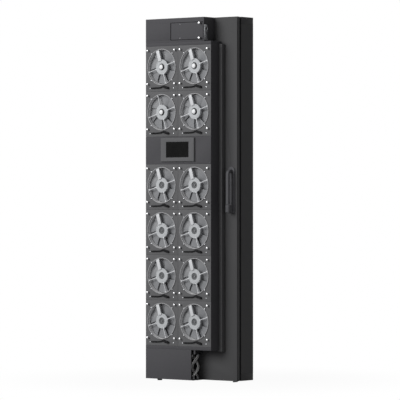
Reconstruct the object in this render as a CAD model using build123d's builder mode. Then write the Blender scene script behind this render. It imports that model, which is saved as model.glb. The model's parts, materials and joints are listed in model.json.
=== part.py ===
from build123d import *
import math
import os

# A rack-hung rear door heat exchanger: a fixed frame, a swinging leaf that carries a
# water coil, and a fan box with twelve axial fans. Millimetres, +Z up, front faces -Y.
# The origin is at the middle of the frame's rear face, at its foot.

# Overall sizes
width = 600
height = 2100
frame_depth = 113
gasket_gap = 16
leaf_depth = 23
box_depth = 98

# Depth planes, from the rack at the back to the fan face in front
y_frame = -frame_depth
y_leaf_back = y_frame - gasket_gap
y_skin = y_leaf_back - leaf_depth
y_front = y_skin - box_depth
x_left = -width / 2
x_right = width / 2

# Sheet thicknesses and clearances
frame_wall = 2.5
skin_sheet = 1.5
box_sheet = 2
seam = 1
running_gap = 0.3
shaft_clearance = 0.05

# Flat sides on round forms that repeat, which keep the model light
fan_sides = 20
small_sides = 12
tube_sides = 8

# Fixed frame
post_width = 42
rail_height = 40
rack_bolt_radius = 3.25
rack_bolt_inset = 21
rack_bolt_rise = 100
gasket_inset = 4
gasket_width = 10

# Hinges on the left edge
hinge_inset = 250
hinge_heights = (hinge_inset, height / 2, height - hinge_inset)
hinge_knuckle_height = 40
hinge_knuckle_radius = 8
hinge_pin_radius = 4
hinge_leaf_sheet = 4
hinge_leaf_reach = 45
hinge_axis_out = 9
hinge_axis = (x_left - hinge_axis_out, y_frame - gasket_gap / 2)

# Boxes on the front of the leaf
handle_side = 114
fan_box_width = width - handle_side
fan_box_margin = 19.5
bottom_box_height = 176
bottom_box_width = 340
top_box_height = 140
top_box_inset = 52
top_box_width = fan_box_width - top_box_inset
display_band = 161
lower_rows = 4
upper_rows = 2

# The fan plates share what is left of the fan box's front
plates_height = height - bottom_box_height - top_box_height - 2 * fan_box_margin - display_band
plate_height = plates_height / (lower_rows + upper_rows)
plate_width = fan_box_width / 2

# One fan
fan_rise = 10.5
ring_margin = 15.5
ring_wall = 4.5
fan_ring_radius = min(plate_width, plate_height) / 2 - ring_margin
fan_hole_radius = fan_ring_radius - ring_wall
fan_ring_out = 5
strut_angles = (17, 107, 197, 287)
strut_width = 4
strut_depth = 6
motor_radius = 44
motor_depth = 8
motor_front = 2
motor_shaft_radius = 4
bore_depth = 6
hub_radius = 40
hub_depth = 38
blade_count = 7
hub_sides = 2 * blade_count
blade_tip_inset = 11.5
blade_tip = fan_hole_radius - blade_tip_inset
cover_width = 23
cover_depth = 5

# Door window and coil
window_side = 25
window_end = 24
coil_left = 52
coil_latch_space = 70
coil_right = width - coil_latch_space
coil_bottom = 50
coil_top_gap = 55
coil_rear = -52
coil_sheet = 2
tube_radius = 6
tube_rows_y = (-112, -78)
coil_circuits = 6
header_radius = 13
pipe_radius = 8

# Latch
handle_inset = 39
handle_axis_z = 1210
spindle_radius = 8
gear_module = 2
pinion_teeth = 12
gear_backlash = 0.5
rod_width = 12
rod_thick = 6
rod_relief = 4
rod_front_gap = 7.5
striker_sheet = 3

os.makedirs("parts", exist_ok=True)


def facing_front(y):
    """A sketch plane at depth y: its x runs right, its y runs up, its normal points at the viewer."""
    return Plane(origin=(0, y, 0), x_dir=(1, 0, 0), z_dir=(0, -1, 0))


def block(x, y, z, mode=Mode.ADD):
    """A plain block between two limits on each axis, for the open part."""
    with Locations(((x[0] + x[1]) / 2, (y[0] + y[1]) / 2, (z[0] + z[1]) / 2)):
        Box(x[1] - x[0], y[1] - y[0], z[1] - z[0], mode=mode)


def finish(builder, name):
    """Label a finished piece and write it."""
    builder.part.label = name
    export_step(builder.part, f"parts/{name}.step")


# Fixed frame: two tube posts between two folded rails
def frame_post(x_outer, x_inner):
    with BuildPart() as post:
        with BuildSketch(Plane.XY.offset(rail_height)):
            with Locations(((x_outer + x_inner) / 2, y_frame / 2)):
                Rectangle(post_width, frame_depth)
                Rectangle(
                    post_width - 2 * frame_wall,
                    frame_depth - 2 * frame_wall,
                    mode=Mode.SUBTRACT,
                )
        extrude(amount=height - 2 * rail_height)
        bolt_x = math.copysign(width / 2 - rack_bolt_inset, x_outer)
        for bolt_z in (rack_bolt_rise, height - rack_bolt_rise):
            with Locations(Plane(origin=(bolt_x, 0, bolt_z), z_dir=(0, 1, 0))):
                Hole(rack_bolt_radius, depth=2 * frame_wall)
    return post


finish(frame_post(x_left, x_left + post_width), "frame_left_post")
finish(frame_post(x_right, x_right - post_width), "frame_right_post")

with BuildPart() as frame_bottom_rail:
    block((x_left, x_right), (y_frame, 0), (0, rail_height))
    offset(amount=-frame_wall, openings=frame_bottom_rail.faces().sort_by(Axis.Z)[-1])
finish(frame_bottom_rail, "frame_bottom_rail")

with BuildPart() as frame_top_rail:
    block((x_left, x_right), (y_frame, 0), (height - rail_height, height))
    offset(amount=-frame_wall, openings=frame_top_rail.faces().sort_by(Axis.Z)[0])
finish(frame_top_rail, "frame_top_rail")

# Compression gasket round the frame's front, with chamfered lips like a pressed bulb seal
gasket_outer = (width - 2 * gasket_inset, height - 2 * gasket_inset)
gasket_thick = gasket_gap - running_gap
with BuildPart() as frame_gasket:
    with BuildSketch(facing_front(y_frame)):
        with Locations((0, height / 2)):
            Rectangle(*gasket_outer)
            Rectangle(
                gasket_outer[0] - 2 * gasket_width,
                gasket_outer[1] - 2 * gasket_width,
                mode=Mode.SUBTRACT,
            )
    extrude(amount=gasket_thick)
    chamfer(frame_gasket.edges().group_by(Axis.Y)[0], gasket_width / 4)
finish(frame_gasket, "frame_gasket")


# Lift-off hinges: the lower knuckle belongs to the frame, the upper one to the leaf
def hinge_leaves(z_from_centre, y_end):
    with BuildPart() as leaves:
        for z in hinge_heights:
            with BuildSketch(Plane.XY.offset(z + z_from_centre)):
                with Locations(hinge_axis):
                    RegularPolygon(hinge_knuckle_radius, small_sides)
                with Locations((x_left - hinge_leaf_sheet / 2, (hinge_axis[1] + y_end) / 2)):
                    Rectangle(hinge_leaf_sheet, abs(y_end - hinge_axis[1]))
                with Locations(hinge_axis):
                    RegularPolygon(
                        hinge_pin_radius + shaft_clearance,
                        small_sides,
                        major_radius=False,
                        mode=Mode.SUBTRACT,
                    )
            extrude(amount=hinge_knuckle_height)
    return leaves


finish(hinge_leaves(-hinge_knuckle_height, y_frame + hinge_leaf_reach), "frame_hinge_leaves")
finish(hinge_leaves(running_gap, y_skin - hinge_leaf_reach / 2), "door_hinge_leaves")

pin_head_radius = 7
pin_head = 3
with BuildPart() as hinge_pins:
    for z in hinge_heights:
        with BuildSketch(Plane.XY.offset(z - hinge_knuckle_height)):
            with Locations(hinge_axis):
                Circle(hinge_pin_radius)
        extrude(amount=2 * hinge_knuckle_height)
        with BuildSketch(Plane.XY.offset(z - hinge_knuckle_height)):
            with Locations(hinge_axis):
                RegularPolygon(pin_head_radius, small_sides)
        extrude(amount=-pin_head)
finish(hinge_pins, "hinge_pins")

# Latch layout: a pinion on the handle spindle moves two rods, a strike hooks each rod
handle_x = x_right - handle_inset
pitch_radius = gear_module * pinion_teeth / 2
rod_x = handle_x + pitch_radius + gear_module
rod_y = (y_skin + skin_sheet + rod_front_gap, y_skin + skin_sheet + rod_front_gap + rod_thick)
strike_lip = 20
rod_tip_gap = 2
strike_arm = 4
strike_width = 20
strike_top = height - 22
strike_foot = 2
ramp_drop = 7
ramp_rise = 4
rod_tip = strike_top - strike_arm - rod_tip_gap
lip_front = rod_y[0] - 2 * running_gap - striker_sheet

with BuildPart() as frame_strikers:
    with BuildSketch(Plane.YZ.offset(rod_x - strike_width / 2)):
        with BuildLine():
            Polyline(
                (y_frame, strike_top),
                (lip_front, strike_top),
                (lip_front, strike_top - strike_lip),
                (lip_front + striker_sheet, strike_top - strike_lip),
                (lip_front + striker_sheet, strike_top - strike_arm),
                (y_frame - striker_sheet, strike_top - strike_arm),
                (y_frame - striker_sheet, height - rail_height + strike_foot),
                (y_frame, height - rail_height + strike_foot),
                close=True,
            )
        make_face()
    extrude(amount=strike_width)
    mirror(about=Plane.XY.offset(height / 2))
    # The ramp under the leaf's free corner, which takes its weight when it is shut
    with BuildSketch(Plane.YZ.offset(rod_x - strike_width / 2)):
        with BuildLine():
            Polyline(
                (y_frame, gasket_inset - running_gap),
                (y_leaf_back + strike_foot, gasket_inset - running_gap),
                (y_leaf_back + strike_foot, -running_gap),
                (y_leaf_back - leaf_depth / 2, -running_gap),
                (y_skin + ramp_rise, -ramp_rise),
                (y_skin + ramp_rise, -ramp_drop),
                (y_frame, -ramp_drop),
                close=True,
            )
        make_face()
    extrude(amount=strike_width / 2)
finish(frame_strikers, "frame_strikers")

# Leaf: a folded sheet tray, open at the back, with the air window behind the fans
fan_box_bottom = bottom_box_height
plates_bottom = fan_box_bottom + fan_box_margin
band_bottom = plates_bottom + lower_rows * plate_height
band_top = band_bottom + display_band
plates_top = band_top + upper_rows * plate_height
fan_box_top = plates_top + fan_box_margin
manifold_lap = 44
manifold_reach = 8
manifold_height = 26
port_inset = 12
manifold_x = (bottom_box_width - manifold_lap, bottom_box_width + manifold_reach)
manifold_y = (22, box_depth)
manifold_bottom = bottom_box_height - manifold_height
manifold_chamfer = 6
pipe_ports_x = (x_left + manifold_x[0] + port_inset, x_left + manifold_x[1] - port_inset)
pipe_port_z = (manifold_bottom + bottom_box_height) / 2

with BuildPart() as door_skin:
    block((x_left, x_right), (y_skin, y_leaf_back), (0, height))
    offset(amount=-skin_sheet, openings=door_skin.faces().sort_by(Axis.Y)[-1])
    block(
        (x_left + window_side, x_left + fan_box_width - window_side),
        (y_skin, y_skin + skin_sheet),
        (fan_box_bottom + window_end, fan_box_top - window_end),
        mode=Mode.SUBTRACT,
    )
    with Locations(*[Plane(origin=(x, y_skin, pipe_port_z), z_dir=(0, -1, 0)) for x in pipe_ports_x]):
        Hole(pipe_radius + running_gap, depth=2 * skin_sheet)
    with Locations(Plane(origin=(handle_x, y_skin, handle_axis_z), z_dir=(0, -1, 0))):
        Hole(spindle_radius + running_gap, depth=2 * skin_sheet)
finish(door_skin, "door_skin")

# Coil casing: Z-section side plates bolted to the skin, a top plate and a drip tray
coil_x = (x_left + coil_left, x_left + coil_right)
coil_y = (y_skin + skin_sheet, coil_rear)
coil_z = (coil_bottom, height - coil_top_gap)
side_flange = 14
tray_rim = 12
tube_sheet_inset = 32
header_space = 46
fin_rise = 30
fin_overhang = 16
fin_bands = 8
fin_groove_width = 6
fin_groove_depth = 7
spout_radius = 7
spout_bore = 5
spout_drop = 26
spout_inset = 40
fins_x = (coil_x[0] + tube_sheet_inset, coil_x[1] - header_space)
fins_y = (tube_rows_y[0] - fin_overhang, tube_rows_y[1] + fin_overhang)
fins_z = (coil_z[0] + fin_rise, coil_z[1] - coil_sheet)

with BuildPart() as coil_side_plates:
    for side, x_web in ((1, coil_x[0]), (-1, coil_x[1])):
        with BuildSketch(Plane.XY.offset(coil_z[0])):
            with Locations((x_web + side * coil_sheet / 2, sum(coil_y) / 2)):
                Rectangle(coil_sheet, coil_y[1] - coil_y[0])
            with Locations((x_web + side * side_flange / 2, coil_y[1] - coil_sheet / 2)):
                Rectangle(side_flange, coil_sheet)
            with Locations((x_web - side * (side_flange / 2 - coil_sheet), coil_y[0] + coil_sheet / 2)):
                Rectangle(side_flange, coil_sheet)
        extrude(amount=coil_z[1] - coil_z[0])
finish(coil_side_plates, "coil_side_plates")

inner_x = (coil_x[0] + coil_sheet, coil_x[1] - coil_sheet)
inner_y = (coil_y[0], coil_y[1] - coil_sheet)
with BuildPart() as coil_top_plate:
    block(inner_x, inner_y, (coil_z[1] - coil_sheet, coil_z[1]))
finish(coil_top_plate, "coil_top_plate")

with BuildPart() as drip_tray:
    block(inner_x, inner_y, (coil_z[0], coil_z[0] + tray_rim))
    offset(amount=-coil_sheet, openings=drip_tray.faces().sort_by(Axis.Z)[-1])
    # The drain spout hangs in front of the frame's bottom rail, so that it clears as the door swings
    spout_y = y_skin + leaf_depth / 2
    with BuildSketch(Plane.XY.offset(coil_z[0])):
        with Locations((coil_x[0] + spout_inset, spout_y)):
            RegularPolygon(spout_radius, small_sides)
    extrude(amount=-spout_drop)
    with BuildSketch(Plane.XY.offset(coil_z[0] - spout_drop)):
        with Locations((coil_x[0] + spout_inset, spout_y)):
            RegularPolygon(spout_bore, small_sides)
    extrude(amount=spout_drop + coil_sheet, mode=Mode.SUBTRACT)
finish(drip_tray, "drip_tray")

# The fins stand in bands with grooves between them, front and back
with BuildPart() as coil_fin_pack:
    block(fins_x, fins_y, fins_z)
    fin_band_pitch = (fins_x[1] - fins_x[0]) / fin_bands
    for i in range(1, fin_bands):
        groove_middle = fins_x[0] + i * fin_band_pitch
        groove_x = (groove_middle - fin_groove_width / 2, groove_middle + fin_groove_width / 2)
        block(groove_x, (fins_y[0], fins_y[0] + fin_groove_depth), fins_z, mode=Mode.SUBTRACT)
        block(groove_x, (fins_y[1] - fin_groove_depth, fins_y[1]), fins_z, mode=Mode.SUBTRACT)
finish(coil_fin_pack, "coil_fin_pack")

# The rows of tubes: square-cornered return bends on the left, headers on the right
circuit_pitch = (fins_z[1] - fins_z[0]) / coil_circuits
circuit_heights = [fins_z[0] + circuit_pitch * (i + 0.5) for i in range(coil_circuits)]
with BuildPart() as coil_return_bends:
    for z in circuit_heights:
        bend_x = fins_x[0] - tube_sheet_inset / 2
        with BuildLine() as bend:
            Polyline(
                (fins_x[0], tube_rows_y[0], z),
                (bend_x, tube_rows_y[0], z),
                (bend_x, tube_rows_y[1], z),
                (fins_x[0], tube_rows_y[1], z),
            )
        with BuildSketch(Plane(origin=(fins_x[0], tube_rows_y[0], z), z_dir=(-1, 0, 0))):
            RegularPolygon(tube_radius, tube_sides)
        sweep(path=bend.line, transition=Transition.RIGHT)
finish(coil_return_bends, "coil_return_bends")


# Each header joins its row of tubes and runs below the coil to the hose manifold's rear
def water_header(row_y, port_x):
    header_x = fins_x[1] + (coil_x[1] - coil_sheet - fins_x[1]) / 2
    run_z = coil_z[0] + tray_rim + coil_sheet + pipe_radius
    leaf_y = y_skin + leaf_depth / 2
    with BuildPart() as header:
        with BuildSketch(Plane.XY.offset(fins_z[0] + header_radius)):
            with Locations((header_x, row_y)):
                RegularPolygon(header_radius, small_sides)
        extrude(amount=fins_z[1] - fins_z[0] - 2 * header_radius)
        for z in circuit_heights:
            with BuildSketch(Plane(origin=(fins_x[1], row_y, z), z_dir=(1, 0, 0))):
                RegularPolygon(tube_radius, tube_sides)
            extrude(amount=header_x - fins_x[1])
        with BuildLine() as route:
            Polyline(
                (header_x, row_y, fins_z[0] + 2 * header_radius),
                (header_x, row_y, run_z),
                (port_x, row_y, run_z),
                (port_x, leaf_y, run_z),
                (port_x, leaf_y, pipe_port_z),
                (port_x, y_skin, pipe_port_z),
            )
        with BuildSketch(Plane(origin=route.line @ 0, z_dir=route.line % 0)):
            RegularPolygon(pipe_radius, small_sides)
        sweep(path=route.line, transition=Transition.RIGHT)
    return header


finish(water_header(tube_rows_y[0], pipe_ports_x[1]), "supply_header")
finish(water_header(tube_rows_y[1], pipe_ports_x[0]), "return_header")

# Fan box: a folded shell, an inner panel with a cut-out for each fan, and screwed-on fan plates
fan_box_x = (x_left, x_left + fan_box_width)
with BuildPart() as fan_box_shell:
    block(fan_box_x, (y_front, y_skin), (fan_box_bottom, fan_box_top))
    offset(amount=-box_sheet, openings=fan_box_shell.faces().sort_by(Axis.Y)[-1])
    block(fan_box_x, (y_front, y_front + box_sheet), (plates_bottom, plates_top), mode=Mode.SUBTRACT)
finish(fan_box_shell, "fan_box_shell")

row_bottoms = [plates_bottom + i * plate_height for i in range(lower_rows)]
row_bottoms += [band_top + i * plate_height for i in range(upper_rows)]
column_centres = [x_left + plate_width * (i + 0.5) for i in range(2)]
plate_centres = [(x, z + plate_height / 2) for z in row_bottoms for x in column_centres]
fan_places = [(x, y_front, z + fan_rise) for x, z in plate_centres]
panel_rib = 14
with BuildPart() as fan_support_panel:
    with BuildSketch(facing_front(y_front + 2 * box_sheet)):
        with Locations(((fan_box_x[0] + fan_box_x[1]) / 2, (fan_box_bottom + fan_box_top) / 2)):
            Rectangle(fan_box_width - 2 * box_sheet, fan_box_top - fan_box_bottom - 2 * box_sheet)
        with Locations(*plate_centres):
            Rectangle(plate_width - 2 * panel_rib, plate_height - 2 * panel_rib, mode=Mode.SUBTRACT)
        with Locations(((fan_box_x[0] + fan_box_x[1]) / 2, (band_bottom + band_top) / 2)):
            Rectangle(fan_box_width - 4 * panel_rib, display_band - 2 * panel_rib, mode=Mode.SUBTRACT)
    extrude(amount=box_sheet)
finish(fan_support_panel, "fan_support_panel")

# One fan, modelled about its own axis with the plate's front face at y = 0. Its struts end on flat sides
side_turn = strut_angles[0] + 180 / fan_sides
with BuildPart() as one_plate:
    with BuildSketch(facing_front(box_sheet)):
        with Locations((0, -fan_rise)):
            Rectangle(plate_width - seam, plate_height - seam)
    extrude(amount=box_sheet)
    with BuildSketch(facing_front(0)):
        RegularPolygon(fan_ring_radius, fan_sides, rotation=side_turn)
    extrude(amount=fan_ring_out)
    with BuildSketch(facing_front(box_sheet)):
        RegularPolygon(fan_hole_radius, fan_sides, major_radius=False, rotation=side_turn)
    extrude(amount=box_sheet + fan_ring_out, mode=Mode.SUBTRACT)

with BuildPart() as one_motor:
    with BuildSketch(facing_front(motor_depth - motor_front)):
        RegularPolygon(motor_radius, fan_sides, rotation=side_turn)
    extrude(amount=motor_depth)
    strut_start = motor_radius - strut_width
    strut_length = fan_hole_radius - strut_start
    strut_middle = (fan_hole_radius + strut_start) / 2
    with BuildSketch(facing_front(strut_depth - motor_front)):
        for angle in strut_angles:
            with Locations(Rotation(0, 0, angle) * Location((strut_middle, 0, 0))):
                Rectangle(strut_length, strut_width)
    extrude(amount=strut_depth)
    with BuildSketch(facing_front(motor_depth - motor_front)):
        RegularPolygon(motor_shaft_radius + shaft_clearance, small_sides, major_radius=False)
    extrude(amount=bore_depth, mode=Mode.SUBTRACT)

rotor_gap = 2
hub_front = motor_depth - motor_front + rotor_gap
blade_front = hub_front + rotor_gap
blade_root = hub_radius - 3
camber = [(-24, 0), (0, 18), (24, 28)]
blade_sheet = 2
blade_sweep = 9
root_scale = 0.75
tip_scale = 1.1


def blade_outline(radius, scale, shift):
    """The folded camber line of a blade with its thickness at a radius, as a loop of corners."""
    front = [(scale * x + shift, blade_front + scale * y, radius) for x, y in camber]
    return front + [(x, y + blade_sheet, z) for x, y, z in reversed(front)]


with BuildPart() as one_blade:
    root = blade_outline(blade_root, root_scale, 0)
    tip = blade_outline(blade_tip, tip_scale, blade_sweep)
    blade_faces = [Face(Wire.make_polygon(end)) for end in (root, tip)]
    for i in range(len(root)):
        blade_faces.append(Face(Wire.make_polygon((root[i - 1], root[i], tip[i], tip[i - 1]))))
    add(Solid(Shell(blade_faces)))

with BuildPart() as one_rotor:
    with BuildSketch(facing_front(hub_front + hub_depth)):
        RegularPolygon(hub_radius, hub_sides)
    extrude(amount=hub_depth)
    with BuildSketch(facing_front(hub_front)):
        Circle(motor_shaft_radius)
    extrude(amount=hub_front - motor_depth + motor_front + bore_depth - running_gap)
    for index in range(blade_count):
        add(one_blade.part, rotation=(0, index * 360 / blade_count, 0))

# A wide cable cover runs along the strut that carries the motor's lead
cover_angle = strut_angles[1]
cover_overlap = 6
cover_end_gap = 2
cover_length = fan_hole_radius - motor_radius + cover_overlap
cover_middle = fan_hole_radius - cover_end_gap - cover_length / 2
with BuildPart() as one_cover:
    with BuildSketch(facing_front(-motor_front)):
        with Locations(Rotation(0, 0, cover_angle) * Location((cover_middle, 0, 0))):
            Rectangle(cover_length, cover_width)
    extrude(amount=cover_depth)
    chamfer(one_cover.faces().sort_by(Axis.Y)[0].edges(), cover_depth / 3)

# The fan's plug sits in the plate under the ring, with its lead laid along the plate's foot
lead_thick = 4
plug_x = (15, 65)
plug_gap = 2
plug_height = 12
plug_out = 8
plug_chamfer = 2
plug_foot = -fan_ring_radius - plug_gap - plug_height
plug_z = (plug_foot, plug_foot + plug_height)
lead_corners = [(plug_x[0], 9), (plug_x[0], 5), (2, -3), (-78, -7), (-78, -3), (3, 1)]
lead_route = [(x, plug_foot + z) for x, z in lead_corners]
with BuildPart() as one_lead:
    block(plug_x, (-plug_out, 0), plug_z)
    chamfer(one_lead.faces().sort_by(Axis.Y)[0].edges(), plug_chamfer)
    with BuildSketch(facing_front(0)):
        Polygon(*lead_route, align=None)
    extrude(amount=lead_thick)

# A captive thumb screw stands at each corner of a plate
screw_inset = (20.5, 34)
screw_spread = (plate_width - 2 * screw_inset[0], plate_height - 2 * screw_inset[1])
shank_radius = 3
shank_length = 9
head_radius = 6.5
head_length = 7
head_taper = 14
with BuildPart() as one_thumb_screw:
    with BuildSketch(facing_front(0)):
        RegularPolygon(shank_radius, 4)
    extrude(amount=shank_length)
    with BuildSketch(facing_front(-shank_length)):
        RegularPolygon(head_radius, 6)
    extrude(amount=head_length, taper=head_taper)


def repeated(piece, places):
    """One node of separate copies of a piece."""
    with BuildPart() as group:
        with Locations(*places):
            add(piece.part)
    return group


uncovered_fan = 2 * lower_rows
covered_places = fan_places[:uncovered_fan] + fan_places[uncovered_fan + 1 :]
screw_offsets = [(sx * screw_spread[0] / 2, sz * screw_spread[1] / 2) for sx in (-1, 1) for sz in (-1, 1)]
screw_places = [(x + dx, y, z + dz) for x, y, z in fan_places for dx, dz in screw_offsets]
finish(repeated(one_plate, fan_places), "fan_plates")
finish(repeated(one_motor, fan_places), "fan_motors")
finish(repeated(one_cover, covered_places), "fan_cable_covers")
finish(repeated(one_lead, fan_places), "fan_leads")
finish(repeated(one_thumb_screw, screw_places), "plate_thumb_screws")

# Each rotor has stopped at an angle of its own
rest_turn = 13
for number, place in enumerate(fan_places, start=1):
    with BuildPart() as fan_rotor:
        with Locations(place):
            add(one_rotor.part, rotation=(0, (number % upper_rows) * rest_turn, 0))
    finish(fan_rotor, f"fan_rotor_{number}")

# Display: a bevelled bezel on its own panel, a glass screen and the controller behind it
display_shift = 1
display_rise = 4
bezel_margin = 18
screen_margin = 52
display_x = (fan_box_x[0] + fan_box_x[1]) / 2 + display_shift
display_z = (band_bottom + band_top) / 2 + display_rise
bezel_size = (253, display_band - bezel_margin)
bezel_corner = 6
bezel_depth = 10
bezel_taper = 20
screen_size = (168, bezel_size[1] - screen_margin)
screen_recess = 2
controller_depth = 42
controller_chamfer = 3
with BuildPart() as display_panel:
    with BuildSketch(facing_front(y_front + box_sheet)):
        with Locations(((fan_box_x[0] + fan_box_x[1]) / 2, (band_bottom + band_top) / 2)):
            Rectangle(fan_box_width, display_band - seam)
        with Locations((display_x, display_z)):
            Rectangle(*screen_size, mode=Mode.SUBTRACT)
    extrude(amount=box_sheet)
finish(display_panel, "display_panel")

with BuildPart() as display_bezel:
    with BuildSketch(facing_front(y_front)):
        with Locations((display_x, display_z)):
            RectangleRounded(*bezel_size, bezel_corner)
    extrude(amount=bezel_depth, taper=bezel_taper)
    with BuildSketch(facing_front(y_front)):
        with Locations((display_x, display_z)):
            Rectangle(*screen_size)
    extrude(amount=bezel_depth, mode=Mode.SUBTRACT)
finish(display_bezel, "display_bezel")

screen_fit = 0.6
with BuildPart() as display_screen:
    with BuildSketch(facing_front(y_front)):
        with Locations((display_x, display_z)):
            Rectangle(screen_size[0] - screen_fit, screen_size[1] - screen_fit)
    extrude(amount=bezel_depth - screen_recess)
finish(display_screen, "display_screen")

with BuildPart() as controller:
    with BuildSketch(facing_front(y_front)):
        with Locations((display_x, display_z)):
            Rectangle(screen_size[0] - screen_fit, screen_size[1] - screen_fit)
    extrude(amount=-controller_depth)
    chamfer(controller.faces().sort_by(Axis.Y)[-1].edges(), controller_chamfer)
finish(controller, "controller")

# Top box: wiring box with a hatch on its front and a cable opening in its right side
top_box_x = (x_left, x_left + top_box_width)
hatch_width = 236
hatch_margin = 6
hatch_foot = 14
hatch_head = 29
hatch_x = (top_box_x[1] - hatch_margin - hatch_width, top_box_x[1] - hatch_margin)
hatch_z = (fan_box_top + hatch_foot, height - hatch_head)
side_opening_y = (4, 38)
opening_foot = 5
opening_head = 43
side_opening_z = (fan_box_top + opening_foot, height - opening_head)
hatch_sheet = 1.5
with BuildPart() as top_box:
    block(top_box_x, (y_front, y_skin), (fan_box_top, height))
    offset(amount=-box_sheet, openings=top_box.faces().sort_by(Axis.Y)[-1])
    block(
        (hatch_x[0] + panel_rib, hatch_x[1] - panel_rib),
        (y_front, y_front + box_sheet),
        (hatch_z[0] + panel_rib, hatch_z[1] - panel_rib),
        mode=Mode.SUBTRACT,
    )
    block(
        (top_box_x[1] - box_sheet, top_box_x[1]),
        (y_front + side_opening_y[0], y_front + side_opening_y[1]),
        side_opening_z,
        mode=Mode.SUBTRACT,
    )
finish(top_box, "top_box")

with BuildPart() as top_hatch:
    block(hatch_x, (y_front - hatch_sheet, y_front), hatch_z)
    chamfer(top_hatch.faces().sort_by(Axis.Y)[0].edges(), hatch_sheet / 3)
finish(top_hatch, "top_hatch")

knob_inset = 5
knob_side = 18
knob_x = hatch_x[1] - knob_side
knob_shank = (4, 10)
knob_head = (8, 9)
knob_taper = 12
with BuildPart() as hatch_thumb_screws:
    for z in (hatch_z[0] + knob_inset, hatch_z[1] - knob_inset):
        with BuildSketch(facing_front(y_front - hatch_sheet)):
            with Locations((knob_x, z)):
                RegularPolygon(knob_shank[0], tube_sides)
        extrude(amount=knob_shank[1])
        with BuildSketch(facing_front(y_front - hatch_sheet - knob_shank[1])):
            with Locations((knob_x, z)):
                RegularPolygon(knob_head[0], small_sides)
        extrude(amount=knob_head[1], taper=knob_taper)
finish(hatch_thumb_screws, "hatch_thumb_screws")

# The cable inlet: a metal socket on a plate that closes the lower part of the side opening
inlet_x = top_box_x[1] - box_sheet
inlet_lap = 6
inlet_y = y_front + sum(side_opening_y) / 2
inlet_drop = 26
inlet_z = side_opening_z[1] - inlet_drop
inlet_collar_radius = 12
inlet_bore = 8
with BuildPart() as cable_inlet:
    block(
        (inlet_x - box_sheet, inlet_x),
        (y_front + box_sheet, y_front + side_opening_y[1] + inlet_lap),
        (side_opening_z[0] - box_sheet, side_opening_z[1] + inlet_lap),
    )
    with BuildSketch(Plane(origin=(inlet_x, inlet_y, inlet_z), z_dir=(1, 0, 0))):
        RegularPolygon(inlet_collar_radius, small_sides)
    extrude(amount=box_sheet)
    with Locations(Plane(origin=(inlet_x + box_sheet, inlet_y, inlet_z), z_dir=(1, 0, 0))):
        Hole(inlet_bore, depth=2 * box_sheet)
finish(cable_inlet, "cable_inlet")

# Two braided hoses wind round each other between the manifold and their couplings
hose_radius = 8.5
helix_radius = 18
helix_pitch = 151
helix_centre = (x_left + sum(manifold_x) / 2, y_front + sum(manifold_y) / 2)
helix_crossing_z = 39.3
view_turn = -51.5
coupling_top = 14
coupling_neck_radius = 8
straight_end = 8
hose_steps = 10


def hose_point(z, phase):
    """A point on one hose's centre line at a height."""
    angle = math.radians(view_turn + phase + 360 * (z - helix_crossing_z) / helix_pitch)
    x = helix_centre[0] + helix_radius * math.cos(angle)
    y = helix_centre[1] + helix_radius * math.sin(angle)
    return (x, y, z)


# Bottom box: a folded shell whose right side and back stay open for the hoses
shelf_reach = 12
with BuildPart() as bottom_box:
    bottom_x = (x_left, x_left + bottom_box_width)
    block(bottom_x, (y_front, y_skin), (0, bottom_box_height))
    block(
        (bottom_x[0] + box_sheet, bottom_x[1]),
        (y_front + box_sheet, y_skin),
        (box_sheet, bottom_box_height),
        mode=Mode.SUBTRACT,
    )
    block((bottom_x[1], bottom_x[1] + shelf_reach), (y_front + box_sheet, y_skin), (0, box_sheet))
    for phase in (0, 180):
        x, y, z = hose_point(coupling_top + straight_end, phase)
        with BuildSketch(Plane.XY):
            with Locations((x, y)):
                RegularPolygon(coupling_neck_radius + running_gap, small_sides)
        extrude(amount=box_sheet, mode=Mode.SUBTRACT)
finish(bottom_box, "bottom_box")

# The hose manifold hangs under the fan box and takes the headers' pipes at its back
manifold = (x_left + manifold_x[0], x_left + manifold_x[1])
with BuildPart() as hose_manifold:
    block(manifold, (y_front + manifold_y[0], y_skin), (manifold_bottom, bottom_box_height))
    chamfer(hose_manifold.faces().sort_by(Axis.Y)[0].edges().filter_by(Axis.Z), manifold_chamfer)
finish(hose_manifold, "hose_manifold")


def hose(phase):
    """One hose: straight at its ends and wound between them, in short mitred lengths."""
    low, high = coupling_top + straight_end, manifold_bottom - straight_end
    turns = [low + (high - low) * i / hose_steps for i in range(hose_steps + 1)]
    points = [hose_point(z, phase) for z in turns]
    ends = [(*points[0][:2], coupling_top), (*points[-1][:2], manifold_bottom)]
    with BuildPart() as tube:
        with BuildLine() as route:
            Polyline(ends[0], *points, ends[1])
        with BuildSketch(Plane(origin=ends[0], z_dir=(0, 0, 1))):
            RegularPolygon(hose_radius, small_sides)
        sweep(path=route.line, transition=Transition.RIGHT)
    return tube


finish(hose(0), "supply_hose")
finish(hose(180), "return_hose")

coupling_radius = 11
coupling_bore = 6
coupling_bore_depth = 14
coupling_neck = 5
with BuildPart() as hose_couplings:
    for phase in (0, 180):
        x, y, z = hose_point(coupling_top + straight_end, phase)
        with BuildSketch(Plane.XY.offset(box_sheet)):
            with Locations((x, y)):
                RegularPolygon(coupling_radius, 6)
        extrude(amount=coupling_top - box_sheet)
        with BuildSketch(Plane.XY.offset(box_sheet)):
            with Locations((x, y)):
                RegularPolygon(coupling_neck_radius, small_sides)
        extrude(amount=-coupling_neck)
        with Locations(Plane(origin=(x, y, box_sheet - coupling_neck), z_dir=(0, 0, -1))):
            Hole(coupling_bore, depth=coupling_bore_depth)
finish(hose_couplings, "hose_couplings")

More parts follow.
